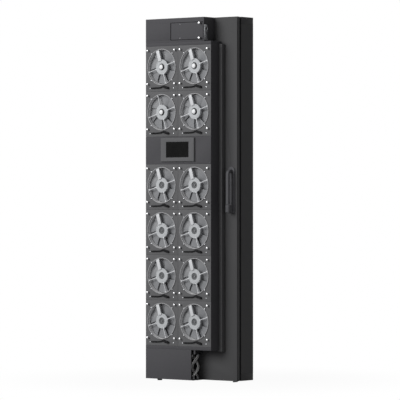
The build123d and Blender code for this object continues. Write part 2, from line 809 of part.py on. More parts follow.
foot_inset = (86, 25)
foot_centre = (x_left + foot_inset[0], y_front + foot_inset[1])
foot_radius = 15
foot_height = 9
foot_taper = 8
with BuildPart() as rubber_foot:
    with BuildSketch(Plane.XY):
        with Locations(foot_centre):
            RegularPolygon(foot_radius, small_sides)
    extrude(amount=-foot_height, taper=foot_taper)
finish(rubber_foot, "rubber_foot")

# Wiring raceway down the right side of the fan box
raceway_width = 25
raceway_depth = 28
raceway_overlap = 7
raceway_drop = 16
raceway_z = (bottom_box_height - raceway_overlap, fan_box_top - raceway_drop)
with BuildPart() as wiring_raceway:
    block((fan_box_x[1], fan_box_x[1] + raceway_width), (y_skin - raceway_depth, y_skin), raceway_z)
    offset(amount=-box_sheet, openings=wiring_raceway.faces().sort_by(Axis.Y)[-1])
    chamfer(wiring_raceway.faces().sort_by(Axis.Y)[0].edges().filter_by(Axis.Z), 1)
finish(wiring_raceway, "wiring_raceway")

# Latch handle: an arched base with a lock block, and a bar that turns on a spindle
base_width = 50
base_below = 242
base_above = 26
base_sheet = 6
lock_block_height = 47
base_bottom = handle_axis_z - base_below
base_top = handle_axis_z + base_above
lock_block_top = base_bottom + lock_block_height
lock_block_width = 26
bar_width = 20
bar_depth = 17
bar_front = 45
lock_radius = 8
lock_depth = 12
lock_z = (base_bottom + lock_block_top) / 2
key_slot = (2, 9)
key_slot_depth = 4
base_taper = 8
block_chamfer = 4
bar_chamfer = 4
bar_bend = 18
with BuildPart() as handle_base:
    with BuildSketch(facing_front(y_skin)):
        with BuildLine():
            half = base_width / 2
            Polyline(
                (handle_x - half, base_top - half),
                (handle_x - half, base_bottom),
                (handle_x + half, base_bottom),
                (handle_x + half, base_top - half),
            )
            ThreePointArc(
                (handle_x - half, base_top - half), (handle_x, base_top), (handle_x + half, base_top - half)
            )
        make_face()
    extrude(amount=base_sheet, taper=base_taper)
    block(
        (handle_x - lock_block_width / 2, handle_x + lock_block_width / 2),
        (y_skin - bar_front, y_skin - base_sheet / 2),
        (base_bottom + block_chamfer, lock_block_top),
    )
    chamfer(handle_base.faces().sort_by(Axis.Y)[0].edges(), block_chamfer)
    with Locations(Plane(origin=(handle_x, y_skin - bar_front, lock_z), z_dir=(0, -1, 0))):
        Hole(lock_radius + shaft_clearance, depth=lock_depth)
    with Locations(Plane(origin=(handle_x, y_skin - base_sheet, handle_axis_z), z_dir=(0, -1, 0))):
        Hole(spindle_radius + shaft_clearance, depth=2 * base_sheet)
finish(handle_base, "handle_base")

with BuildPart() as lock_cylinder:
    with BuildSketch(facing_front(y_skin - bar_front + lock_depth - running_gap)):
        with Locations((handle_x, lock_z)):
            Circle(lock_radius)
    extrude(amount=lock_depth)
    with BuildSketch(facing_front(y_skin - bar_front - running_gap)):
        with Locations((handle_x, lock_z)):
            Rectangle(*key_slot)
    extrude(amount=-key_slot_depth, mode=Mode.SUBTRACT)
finish(lock_cylinder, "lock_cylinder")


# The pinion's flanks are involutes, thinned for backlash and cut off radially below the base circle
def involute(angle):
    return math.tan(angle) - angle


pressure = math.radians(20)
base_radius = pitch_radius * math.cos(pressure)
tip_radius = pitch_radius + gear_module
root_radius = pitch_radius - 1.2 * gear_module
half_tooth = (math.pi * gear_module / 2 - gear_backlash) / (2 * pitch_radius)


def flank_angle(radius):
    """Half the angle that a tooth spans at a radius."""
    if radius <= base_radius:
        return half_tooth + involute(pressure)
    return half_tooth + involute(pressure) - involute(math.acos(base_radius / radius))


flank_radii = (root_radius, base_radius, pitch_radius, tip_radius)
pinion_outline = []
for tooth in range(pinion_teeth):
    middle = 2 * math.pi * tooth / pinion_teeth
    flanks = [(r, middle - flank_angle(r)) for r in flank_radii]
    flanks += [(r, middle + flank_angle(r)) for r in reversed(flank_radii)]
    pinion_outline += [(r * math.cos(a), r * math.sin(a)) for r, a in flanks]

bar_gap = 2.7
bar_y = y_skin - bar_front + bar_depth / 2
bend_cut = bar_bend * (1 - math.cos(math.radians(45)))
with BuildPart() as latch_handle:
    with BuildLine() as bar_route:
        Polyline(
            (handle_x, bar_y, lock_block_top + bar_gap),
            (handle_x, bar_y, handle_axis_z - bar_bend),
            (handle_x, bar_y + bend_cut, handle_axis_z - bend_cut),
            (handle_x, bar_y + bar_bend, handle_axis_z),
            (handle_x, y_skin - base_sheet - running_gap, handle_axis_z),
        )
    with BuildSketch(Plane(origin=bar_route.line @ 0, x_dir=(1, 0, 0), z_dir=(0, 0, 1))) as bar_section:
        Rectangle(bar_width, bar_depth)
        chamfer(bar_section.vertices(), bar_chamfer)
    sweep(path=bar_route.line, transition=Transition.RIGHT)
    with BuildSketch(facing_front(y_skin - base_sheet - running_gap)):
        with Locations((handle_x, handle_axis_z)):
            Circle(spindle_radius)
    extrude(amount=-(base_sheet + running_gap + rod_y[1] - y_skin))
    with BuildSketch(facing_front(rod_y[1])):
        with Locations((handle_x, handle_axis_z)):
            Polygon(*pinion_outline, align=None)
    extrude(amount=rod_thick)
finish(latch_handle, "latch_handle")

# Rods: toothed where the pinion drives them, the upper one cranked over to the lower one's line
rack_tooth_out = 0.65 * gear_module
rack_root = gear_module * 1.25
rack_half_teeth = 5
rack_end_gap = 40
rod_half = rod_width / 2
rod_back = rod_x - rod_half + rod_relief


def rack_teeth(side):
    """The corners of a rack's toothed edge, facing the pinion from the right (1) or the left (-1)."""
    pitch_line = handle_x + side * pitch_radius
    slope = math.tan(pressure)
    step = math.pi * gear_module
    corners = []
    for tooth in range(-rack_half_teeth, rack_half_teeth):
        z = handle_axis_z + (tooth + 0.5) * step
        tip = pitch_line - side * rack_tooth_out
        root = pitch_line + side * rack_root
        tip_half = step / 4 - rack_tooth_out * slope
        root_half = step / 4 + rack_root * slope
        corners += [(root, z - root_half), (tip, z - tip_half), (tip, z + tip_half), (root, z + root_half)]
    return corners


rack_low = handle_axis_z - rack_half_teeth * math.pi * gear_module
rack_high = handle_axis_z + rack_half_teeth * math.pi * gear_module
rod_low_tip = height - rod_tip
with BuildPart() as lower_rod:
    with BuildSketch(facing_front(rod_y[1])):
        Polygon(
            *rack_teeth(1),
            (rod_x + rod_half, rack_high),
            (rod_x + rod_half, rod_low_tip),
            (rod_back, rod_low_tip),
            (rod_back, rack_low - rod_half),
            align=None,
        )
    extrude(amount=rod_thick)
finish(lower_rod, "lower_rod")

left_back = handle_x - pitch_radius - rack_root - rod_half
crank_low = rack_high + rack_end_gap
with BuildPart() as upper_rod:
    with BuildSketch(facing_front(rod_y[1])):
        Polygon(
            *rack_teeth(-1),
            (handle_x - pitch_radius - rack_root, crank_low),
            (rod_x + rod_half, crank_low),
            (rod_x + rod_half, rod_tip),
            (rod_back, rod_tip),
            (rod_back, crank_low + rod_width),
            (left_back, crank_low + rod_width),
            (left_back, rack_low),
            align=None,
        )
    extrude(amount=rod_thick)
finish(upper_rod, "upper_rod")

# Guides on the skin hold the rods' straight runs
lower_guides = (400, 800)
upper_guides_down = (600, 200)
guide_heights = (*lower_guides, *[height - drop for drop in upper_guides_down])
guide_wall = 3
guide_height = 16
rod_low_x = rod_back - running_gap
rod_high_x = rod_x + rod_half + running_gap
with BuildPart() as rod_guides:
    for z in guide_heights:
        block(
            (rod_low_x - guide_wall, rod_high_x + guide_wall),
            (y_skin + skin_sheet, rod_y[1] + guide_wall),
            (z - guide_height / 2, z + guide_height / 2),
        )
        block(
            (rod_low_x, rod_high_x),
            (rod_y[0] - running_gap, rod_y[1] + running_gap),
            (z - guide_height, z + guide_height),
            mode=Mode.SUBTRACT,
        )
finish(rod_guides, "rod_guides")
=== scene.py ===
import json
import math

import bmesh
import bpy
from bmesh.types import BMEdge, BMFace, BMVert
from bpy.props import FloatProperty, FloatVectorProperty, IntProperty, PointerProperty
from mathutils import Matrix, Vector


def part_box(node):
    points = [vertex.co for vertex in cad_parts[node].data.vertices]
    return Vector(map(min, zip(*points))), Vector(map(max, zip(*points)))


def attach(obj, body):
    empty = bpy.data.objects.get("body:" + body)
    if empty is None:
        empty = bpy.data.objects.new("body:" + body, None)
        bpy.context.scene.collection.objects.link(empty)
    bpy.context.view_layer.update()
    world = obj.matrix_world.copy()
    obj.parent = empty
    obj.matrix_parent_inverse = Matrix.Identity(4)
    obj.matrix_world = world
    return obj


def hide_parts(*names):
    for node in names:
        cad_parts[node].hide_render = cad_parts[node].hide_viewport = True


bl_info = {
    "name": "Rear door heat exchanger dressing",
    "version": (1, 0, 0),
    "blender": (4, 5, 0),
    "location": "View3D > Sidebar > Rear Door",
    "description": "Dresses the cooled rack door with its fans, coil, cabling, finishes and a studio stage",
    "category": "Object",
}

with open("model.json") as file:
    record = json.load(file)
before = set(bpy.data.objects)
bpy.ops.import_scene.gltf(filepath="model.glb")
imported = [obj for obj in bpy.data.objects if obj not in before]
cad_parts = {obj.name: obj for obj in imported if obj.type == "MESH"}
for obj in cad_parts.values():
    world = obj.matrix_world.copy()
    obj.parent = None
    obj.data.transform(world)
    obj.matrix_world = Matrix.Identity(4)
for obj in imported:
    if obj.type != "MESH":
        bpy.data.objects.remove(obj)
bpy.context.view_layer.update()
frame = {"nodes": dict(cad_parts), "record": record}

MM = 0.001
TURN = 2 * math.pi

# Planes and centres read from the frame, in metres
FACE_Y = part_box("fan_box_shell")[0].y
SKIN_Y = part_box("door_skin")[0].y
FOOT_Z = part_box("rubber_foot")[0].z
HINGES = [j for j in frame["record"]["behaviour"]["joints"] if j["type"] == "hinge"]
FAN_CENTRES = [Vector(j["pos_m"]) for j in HINGES if j["name"].startswith("fan_spin")]
HANDLE_AXIS = Vector(next(j["pos_m"] for j in HINGES if j["name"] == "handle_turn"))

# Where each fan's struts, cable cover and lugs stand, in degrees, and the lugs' distance from the shaft
STRUT_ANGLES = (17, 107, 197, 287)
COVER_ANGLE = 107
LUG_ANGLES = (45, 135, 225, 315)
LUG_REACH = Vector((110 * MM, 0, 0))

# Fans that differ from the others, and heights in metres
FAN_WITHOUT_COVER = 9
FANS_TURNED_ON = (9, 10)
# Discs above this height get a cap painted bright as a painted highlight, those below a socket painted dark
# as painted shade
CAPPED_ABOVE = 1.5
HINGE_HEIGHTS = (0.25, 1.05, 1.85)


def length(label, about, default):
    """A length setting whose default is given in millimetres."""
    return FloatProperty(name=label, description=about, default=default * MM, unit="LENGTH")


def colour(label, about, default):
    """A colour setting."""
    return FloatVectorProperty(name=label, description=about, default=default,
                               subtype="COLOR", size=3, min=0, max=1)


# Settings that a user of the part would change
class FanSettings(bpy.types.PropertyGroup):
    blade_count: IntProperty(name="Blades", description="Blades on each rotor", default=7, min=3, max=11)
    hub_radius: length("Hub radius", "Radius of the rotor's hub", 42)
    tip_radius: length("Tip radius", "Radius of the blade tips", 98)
    throat_radius: length("Throat radius", "Radius of the air hole in a plate", 101.5)
    rest_turn: FloatProperty(name="Rest angle", description="Angle at which the first blade has stopped",
                             default=math.radians(99), subtype="ANGLE")
    blade_colour: colour("Blade colour", "Moulded rotor colour", (0.23, 0.235, 0.245))
    motor_colour: colour("Motor colour", "Cast motor disc colour", (0.5, 0.515, 0.53))


class FinishSettings(bpy.types.PropertyGroup):
    frame_colour: colour("Frame paint", "Powder coat on the fixed frame", (0.078, 0.078, 0.08))
    door_colour: colour("Door paint", "Powder coat on the leaf", (0.078, 0.078, 0.08))
    box_colour: colour("Box paint", "Powder coat on the boxes", (0.08, 0.079, 0.085))
    plate_colour: colour("Plate paint", "Powder coat on the fan plates", (0.13, 0.13, 0.134))
    grain_scale: FloatProperty(name="Coat grain", description="Grains of powder coat to the metre",
                               default=900.0, min=50.0)
    edge_round: length("Fold radius", "Rounding of folded sheet edges", 0.7)


class CoilSettings(bpy.types.PropertyGroup):
    fin_pitch: length("Fin pitch", "Distance from fin to fin", 2.5)
    fin_sheet: length("Fin sheet", "Thickness of a fin", 0.3)
    tube_pitch: length("Tube pitch", "Height from tube to tube in a row", 38)
    tube_radius: length("Tube radius", "Radius of the copper tubes", 6)


class StageSettings(bpy.types.PropertyGroup):
    camera_place: FloatVectorProperty(name="Camera", description="Where the camera stands",
                                      default=(10.377, -13.163, 1.0435), subtype="XYZ", size=3)
    camera_turn: FloatProperty(name="Camera turn", description="Turn of the view from square",
                               default=math.radians(38.5), subtype="ANGLE")
    camera_lens: FloatProperty(name="Lens", description="Focal length on a 36 mm sensor",
                               default=257.4, subtype="DISTANCE_CAMERA")
    key_power: FloatProperty(name="Key light", description="Strength of the key light", default=1.0)
    fill_level: FloatProperty(name="Fill", description="Strength of the light from all round", default=0.2)


# Shader building
def feed(tree, socket, value):
    """Links a node or socket to an input, or sets the input to a plain value."""
    if isinstance(value, bpy.types.Node):
        value = value.outputs[0]
    if isinstance(value, bpy.types.NodeSocket):
        tree.links.new(value, socket)
    else:
        socket.default_value = value


def node(tree, kind, *feeds, **values):
    """A shader node in the next free place, with its inputs fed in order and then by name."""
    made = tree.nodes.new(kind)
    column, row = len(tree.nodes) % 6, len(tree.nodes) // 6
    made.location = (220 * column - 900, 500 - 280 * row)
    for socket, value in zip(made.inputs, feeds):
        feed(tree, socket, value)
    for key, value in values.items():
        if hasattr(made, key):
            setattr(made, key, value)
        else:
            feed(tree, made.inputs[key.replace("_", " ")], value)
    return made


def maths(tree, operation, *feeds):
    return node(tree, "ShaderNodeMath", *feeds, operation=operation)


def noise(tree, vector, scale, detail):
    return node(tree, "ShaderNodeTexNoise", vector, Scale=scale, Detail=detail)


def spread(tree, value, low, high, **values):
    """A value between 0 and 1 carried over to a range."""
    return node(tree, "ShaderNodeMapRange", value, To_Min=low, To_Max=high, **values)


def effect_group(name, sizes):
    """A node group that takes a vector, a colour and named numbers; returns it with its inputs."""
    tree = bpy.data.node_groups.new(name, "ShaderNodeTree")
    tree.interface.new_socket("Vector", in_out="INPUT", socket_type="NodeSocketVector")
    tree.interface.new_socket("Colour", in_out="INPUT", socket_type="NodeSocketColor")
    for label, default in sizes.items():
        socket = tree.interface.new_socket(label, in_out="INPUT", socket_type="NodeSocketFloat")
        socket.default_value = default
    for label, kind in (("Colour", "Color"), ("Roughness", "Float"), ("Height", "Float")):
        tree.interface.new_socket(label, in_out="OUTPUT", socket_type="NodeSocket" + kind)
    return tree, node(tree, "NodeGroupInput").outputs


def end_effect(tree, colour, swing, contrast, sheen, gloss, height):
    """Ends an effect: its colour brightened by the swing, its roughness, and its height."""
    gain = maths(tree, "MULTIPLY_ADD", swing, contrast, 1.0)
    tone = node(tree, "ShaderNodeVectorMath", colour, operation="SCALE", Scale=gain)
    node(tree, "NodeGroupOutput", tone, maths(tree, "MULTIPLY_ADD", swing, sheen, gloss), height)
    return tree


def coat_grain():
    """Powder coat: a slow drift of tone, fine orange peel and a sheen that varies."""
    tree, given = effect_group("coat_grain", {"Grain": 900.0, "Drift": 0.12, "Gloss": 0.5})
    slow = noise(tree, given["Vector"], 3.1, 4.0)
    fine = noise(tree, given["Vector"], given["Grain"], 2.0)
    swing = maths(tree, "SUBTRACT", maths(tree, "ADD", slow, fine), 1.0)
    return end_effect(tree, given["Colour"], swing, given["Drift"], 0.16, given["Gloss"], fine)


def metal_streaks():
    """Drawn or brushed metal: long fine streaks over a cloudy tone."""
    tree, given = effect_group("metal_streaks", {"Across": 1400.0, "Along": 40.0, "Contrast": 0.25,
                                                 "Gloss": 0.3})
    stretch = node(tree, "ShaderNodeCombineXYZ", given["Across"], given["Across"], given["Along"])
    drawn = node(tree, "ShaderNodeVectorMath", given["Vector"], stretch, operation="MULTIPLY")
    streaks = noise(tree, drawn, 1.0, 2.0)
    cloud = noise(tree, given["Vector"], 22.0, 3.0)
    swing = maths(tree, "SUBTRACT", maths(tree, "ADD", streaks, cloud), 1.0)
    contrast = given["Contrast"]
    return end_effect(tree, given["Colour"], swing, contrast, contrast, given["Gloss"], streaks)


def surface(name, metallic=0.0, specular=0.5, bump=0.1, bump_distance=0.0002):
    """A new material; returns its tree, its coordinates and a function that feeds its shader and bump."""
    made = bpy.data.materials.new("dressed_" + name)
    made.use_nodes = True
    tree = made.node_tree
    shader = tree.nodes["Principled BSDF"].inputs
    shader["Metallic"].default_value = metallic
    shader["Specular IOR Level"].default_value = specular
    place = node(tree, "ShaderNodeTexCoord").outputs

    def finish(base, roughness, height):
        relief = node(tree, "ShaderNodeBump", Strength=bump, Distance=bump_distance, Height=height)
        for label, value in (("Base Color", base), ("Roughness", roughness), ("Normal", relief)):
            feed(tree, shader[label], value)

    return tree, place, finish


def wear(effect, finish_parts, values):
    """Places a shared effect, built the first time it is asked for, and joins it to the shader."""
    tree, place, finish = finish_parts
    made = node(tree, "ShaderNodeGroup", node_tree=bpy.data.node_groups.get(effect.__name__) or effect())
    for key, value in values.items():
        made.inputs[key].default_value = value
    tree.links.new(place["Object"], made.inputs["Vector"])
    finish(*(made.outputs[label] for label in ("Colour", "Roughness", "Height")))


def coated(name, colour, gloss=0.5, drift=0.12, specular=0.05, grain=None, bump=0.12):
    """A powder-coated or moulded surface."""
    grain = grain or bpy.context.scene.door_finish.grain_scale
    wear(coat_grain, surface(name, specular=specular, bump=bump),
         {"Colour": (*colour, 1), "Grain": grain, "Drift": drift, "Gloss": gloss})


def metal(name, colour, gloss=0.3, contrast=0.25, across=1400.0):
    """A bare or plated metal surface with its streaks upright."""
    wear(metal_streaks, surface(name, metallic=1.0, bump=0.08, bump_distance=0.0001),
         {"Colour": (*colour, 1), "Across": across, "Along": 40.0, "Contrast": contrast, "Gloss": gloss})


def galvanised_sheet():
    """Zinc-dipped sheet with its crystal spangle."""
    tree, place, finish = surface("galvanised", metallic=1.0, bump=0.05)
    spangle = node(tree, "ShaderNodeTexVoronoi", place["Object"], Scale=150.0).outputs
    split = node(tree, "ShaderNodeSeparateColor", spangle["Color"]).outputs
    tone = node(tree, "ShaderNodeValToRGB", split["Red"])
    tone.color_ramp.elements[0].color = (0.42, 0.43, 0.45, 1)
    tone.color_ramp.elements[1].color = (0.54, 0.55, 0.57, 1)
    finish(tone, spread(tree, split["Green"], 0.28, 0.5), spangle["Distance"])


def braided_steel():
    """Stainless braid: two crossed sets of strands that follow the hose's own length."""
    tree, place, finish = surface("braided_hose", metallic=1.0, bump=0.9, bump_distance=0.0012)
    split = node(tree, "ShaderNodeSeparateXYZ", place["UV"]).outputs
    waves = []
    for lean in (1.0, -1.0):
        turn = maths(tree, "MULTIPLY", maths(tree, "MULTIPLY_ADD", split["Y"], lean, split["X"]), 14 * TURN)
        waves.append(maths(tree, "SINE", turn))
    weave = maths(tree, "MAXIMUM", *waves)
    finish(spread(tree, weave, 0.05, 0.52, From_Min=-0.6, From_Max=1.0), 0.32, weave)


def black_glass():
    """Black cover glass with faint smears in its polish."""
    tree, place, finish = surface("screen_glass", specular=0.08, bump=0.01)
    smear = noise(tree, place["Object"], 26.0, 5.0)
    finish(spread(tree, smear, 0.0015, 0.004), spread(tree, smear, 0.08, 0.24), smear)


def make_finishes():
    """Every material of the part."""
    paint = bpy.context.scene.door_finish
    fan = bpy.context.scene.door_fan
    coated("frame_paint", paint.frame_colour)
    coated("door_paint", paint.door_colour, gloss=0.52)
    coated("box_paint", paint.box_colour, gloss=0.52)
    # Painted light: the raceway has the door's powder coat in a lighter tone, so its shaded front reads as
    # lit
    coated("raceway_painted_light", (0.115, 0.115, 0.118), gloss=0.52)
    coated("plate_paint", paint.plate_colour, gloss=0.48, drift=0.08)
    coated("gasket_rubber", (0.012, 0.012, 0.013), gloss=0.8, grain=1500.0, bump=0.3)
    coated("black_plastic", (0.008, 0.008, 0.009), grain=1300.0, specular=0.08)
    coated("bezel_paint", (0.127, 0.127, 0.132), grain=1500.0)
    coated("handle_paint", (0.085, 0.085, 0.092), grain=1200.0, specular=0.12)
    coated("fan_rotor", fan.blade_colour, gloss=0.34, drift=0.1, specular=0.2, grain=300.0, bump=0.04)
    coated("cable_cover", (0.62, 0.63, 0.65), gloss=0.36, drift=0.06, specular=0.5, grain=300.0, bump=0.03)
    coated("fan_motor", fan.motor_colour, gloss=0.4, drift=0.1, specular=0.2, grain=700.0, bump=0.1)
    # Painted highlight and painted shade: the top rows' caps are near white for the lamp's reflection in the
    # dish, the sockets dark for its shade
    coated("motor_cap_painted_highlight", (0.86, 0.87, 0.88), gloss=0.3, drift=0.05, specular=0.3)
    coated("motor_socket_painted_shade", (0.15, 0.155, 0.16), drift=0.1)
    # Painted highlight: a light grey for the light the throats' rim edges catch, also on the hatch screws so
    # they show as light dots
    coated("rim_painted_highlight", (0.4, 0.4, 0.41), gloss=0.45, drift=0.08, specular=0.15)
    # Painted light: the housings are near white so their shaded inner walls still read mid grey
    coated("painted_light_fan_housing", (0.88, 0.88, 0.89), drift=0.1, grain=700.0)
    # Wire guards: partly their own grey, partly painted light, toned up so the unlit space behind the blades
    # reads mid grey
    coated("guard_wire_painted_light", (0.45, 0.45, 0.46), gloss=0.4, drift=0.1, grain=700.0)
    metal("zinc_steel", (0.6, 0.61, 0.63), gloss=0.32)
    metal("dark_nickel", (0.085, 0.085, 0.09), gloss=0.45, contrast=0.15)
    metal("bright_screw", (0.74, 0.74, 0.75), gloss=0.2, contrast=0.12)
    metal("coil_fins", (0.68, 0.7, 0.72), gloss=0.38, contrast=0.3, across=500.0)
    metal("copper_tube", (0.72, 0.36, 0.2), contrast=0.35)
    galvanised_sheet()
    braided_steel()
    black_glass()


def finish_of(name):
    return bpy.data.materials["dressed_" + name]


# Mesh building
def mm(x, y, z):
    """A place given in millimetres."""
    return Vector((x, y, z)) * MM


def join(target, part):
    """Moves a small bmesh into another one."""
    data = bpy.data.meshes.new("part")
    part.to_mesh(data)
    part.free()
    target.from_mesh(data)
    bpy.data.meshes.remove(data)
    return target


def copies(single, places):
    """One bmesh with a copy of a small bmesh moved by each matrix or vector."""
    stamp = bpy.data.meshes.new("stamp")
    single.to_mesh(stamp)
    single.free()
    many = bmesh.new()
    for place in places:
        move = place if isinstance(place, Matrix) else Matrix.Translation(place)
        before = len(many.verts)
        many.from_mesh(stamp)
        many.verts.ensure_lookup_table()
        bmesh.ops.transform(many, matrix=move, verts=many.verts[before:])
    bpy.data.meshes.remove(stamp)
    return many


def piece(name, mesh, body, slot, replaces=None, finishes=None, smooth=35):
    """Turns a bmesh into a named object that rides on a body and wears its finishes."""
    bmesh.ops.recalc_face_normals(mesh, faces=mesh.faces)
    data = bpy.data.meshes.new(name)
    mesh.to_mesh(data)
    mesh.free()
    made = bpy.data.objects.new(name, data)
    bpy.context.scene.collection.objects.link(made)
    for label in finishes or [slot]:
        data.materials.append(finish_of(label))
    data.shade_smooth()
    data.set_sharp_from_angle(angle=math.radians(smooth))
    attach(made, body)
    if replaces:
        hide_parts(replaces)


def spun(profile, segments):
    """Spins a profile of (radius, depth) points in millimetres about the Y axis and closes its poles."""
    mesh = bmesh.new()
    verts = [mesh.verts.new(mm(radius, depth, 0)) for radius, depth in profile]
    edges = [mesh.edges.new(pair) for pair in zip(verts, verts[1:])]
    bmesh.ops.spin(mesh, geom=verts + edges, cent=(0, 0, 0), axis=(0, 1, 0), angle=TURN, steps=segments,
                   use_merge=True)
    bmesh.ops.remove_doubles(mesh, verts=mesh.verts, dist=1e-6)
    return mesh


def closed_spin(profile, segments):
    """A ring of material: the profile's last point joins its first."""
    return spun(list(profile) + [profile[0]], segments)


def slab(mesh, low, high, round_by, steps=2):
    """Adds a block between two corners, its edges rounded by some millimetres."""
    low, high = Vector(low), Vector(high)
    made = bmesh.ops.create_cube(mesh, size=1.0)["verts"]
    bmesh.ops.scale(mesh, vec=high - low, verts=made)
    bmesh.ops.translate(mesh, vec=(low + high) / 2, verts=made)
    if round_by:
        edges = list({edge for vert in made for edge in vert.link_edges})
        bmesh.ops.bevel(mesh, geom=edges, offset=round_by * MM, segments=steps, profile=0.5,
                        affect="EDGES", material=-1, clamp_overlap=True)
    return mesh


def about_fan_axis(angle):
    """A turn about the fan's own axis in degrees, counted anticlockwise as the viewer sees it."""
    return Matrix.Rotation(-math.radians(angle), 4, "Y")


def soft_edged(name, offset, steps=2):
    """A merged copy of a CAD node with its flat faces rejoined and its edges rounded."""
    mesh = bmesh.new()
    mesh.from_mesh(frame["nodes"][name].data)
    bmesh.ops.remove_doubles(mesh, verts=mesh.verts, dist=1e-5)
    bmesh.ops.dissolve_limit(mesh, angle_limit=math.radians(1), verts=mesh.verts, edges=mesh.edges)
    sharp = [edge for edge in mesh.edges if edge.is_manifold and edge.calc_face_angle() > math.radians(25)]
    bmesh.ops.bevel(mesh, geom=sharp, offset=offset * MM, segments=steps, profile=0.5,
                    affect="EDGES", material=-1, clamp_overlap=True)
    bmesh.ops.dissolve_degenerate(mesh, dist=1e-6, edges=mesh.edges)
    return mesh


def only(kind, parts):
    """The parts of one kind among what a bmesh operator returns."""
    return [part for part in parts if isinstance(part, kind)]


def close_holes(mesh):
    """Fills every open rim of a mesh."""
    bmesh.ops.holes_fill(mesh, edges=[edge for edge in mesh.edges if edge.is_boundary])


def smooth_route(points, resolution):
    """Points along a NURBS spline that has the given points as its control points."""
    curve = bpy.data.curves.new("route", "CURVE")
    curve.dimensions = "3D"
    curve.resolution_u = resolution
    spline = curve.splines.new("NURBS")
    spline.points.add(len(points) - 1)
    for place, point in zip(spline.points, points):
        place.co = (*point, 1)
    spline.order_u = 3
    spline.use_endpoint_u = True
    carrier = bpy.data.objects.new("route", curve)
    line = bpy.data.meshes.new_from_object(carrier)
    route = [vert.co.copy() for vert in line.vertices]
    bpy.data.objects.remove(carrier)
    bpy.data.curves.remove(curve)
    bpy.data.meshes.remove(line)
    return route


def tube(points, radius, sides, resolution=10):
    """A closed round tube along a smooth route, with a UV map that runs round it and along it."""
    route = smooth_route(points, resolution)
    mesh = bmesh.new()
    uv = mesh.loops.layers.uv.new("along")
    rings, lengths, travelled = [], [], 0.0
    heading = (route[1] - route[0]).normalized()
    frame_turn = heading.to_track_quat("Z", "Y")
    for index, point in enumerate(route):
        ahead = route[min(index + 1, len(route) - 1)] - route[max(index - 1, 0)]
        frame_turn = heading.rotation_difference(ahead.normalized()) @ frame_turn
        heading = ahead.normalized()
        place = Matrix.Translation(point) @ frame_turn.to_matrix().to_4x4()
        rings.append(bmesh.ops.create_circle(mesh, segments=sides, radius=radius, matrix=place)["verts"])
        travelled += (point - route[index - 1]).length if index else 0.0
        lengths.append(travelled)
    where = {vert: (lengths[i], k / sides) for i, ring in enumerate(rings) for k, vert in enumerate(ring)}
    hoops = [{edge for vert in ring for edge in vert.link_edges} for ring in rings]
    for near, far in zip(hoops, hoops[1:]):
        bmesh.ops.bridge_loops(mesh, edges=list(near | far))
    for face in mesh.faces:
        shares = [where[corner.vert][1] for corner in face.loops]
        wrap = max(shares) - min(shares) > 0.5
        for corner, share in zip(face.loops, shares):
            around = share + (1 if wrap and share < 0.5 else 0)
            corner[uv].uv = (around, where[corner.vert][0] / (TURN * radius))
    for ring in (rings[0], rings[-1]):
        mesh.faces.new(ring)
    bmesh.ops.recalc_face_normals(mesh, faces=mesh.faces)
    return mesh


def plate_with_hole(width, low, high, hole, sheet):
    """A sheet from the front at y = 0 back to its thickness, with a round hole about the fan's axis."""
    mesh = bmesh.new()
    corners = bmesh.ops.create_grid(mesh, x_segments=1, y_segments=1, size=0.5)["verts"]
    bmesh.ops.delete(mesh, geom=mesh.faces, context="FACES_ONLY")
    bmesh.ops.scale(mesh, vec=(width, high - low, 1), verts=corners)
    bmesh.ops.translate(mesh, vec=(0, (high + low) / 2, 0), verts=corners)
    bmesh.ops.create_circle(mesh, segments=72, radius=hole)
    bmesh.ops.rotate(mesh, verts=mesh.verts, matrix=Matrix.Rotation(math.radians(90), 3, "X"))
    bmesh.ops.triangle_fill(mesh, edges=mesh.edges, use_beauty=True, use_dissolve=False, normal=(0, -1, 0))
    skin = bmesh.ops.extrude_face_region(mesh, geom=mesh.faces[:])["geom"]
    bmesh.ops.translate(mesh, vec=(0, sheet, 0), verts=only(BMVert, skin))
    rim = [e for e in mesh.edges if all(v.co.y < 1e-6 and v.co.xz.length > hole * 1.05 for v in e.verts)
           and e.calc_face_angle(0) > 1]
    bmesh.ops.bevel(mesh, geom=rim, offset=0.12 * MM, segments=2, profile=0.5, affect="EDGES", material=-1)
    return mesh


def pan_screw(radius, height):
    """A small domed screw head with a socket, standing on y = 0."""
    outline = ((0, 0.2), (1, 0.2), (1, -0.45), (0.8, -0.85), (0.5, -1), (0.38, -1), (0.34, -0.4), (0, -0.4))
    return spun([(across * radius, deep * height) for across, deep in outline], 12)


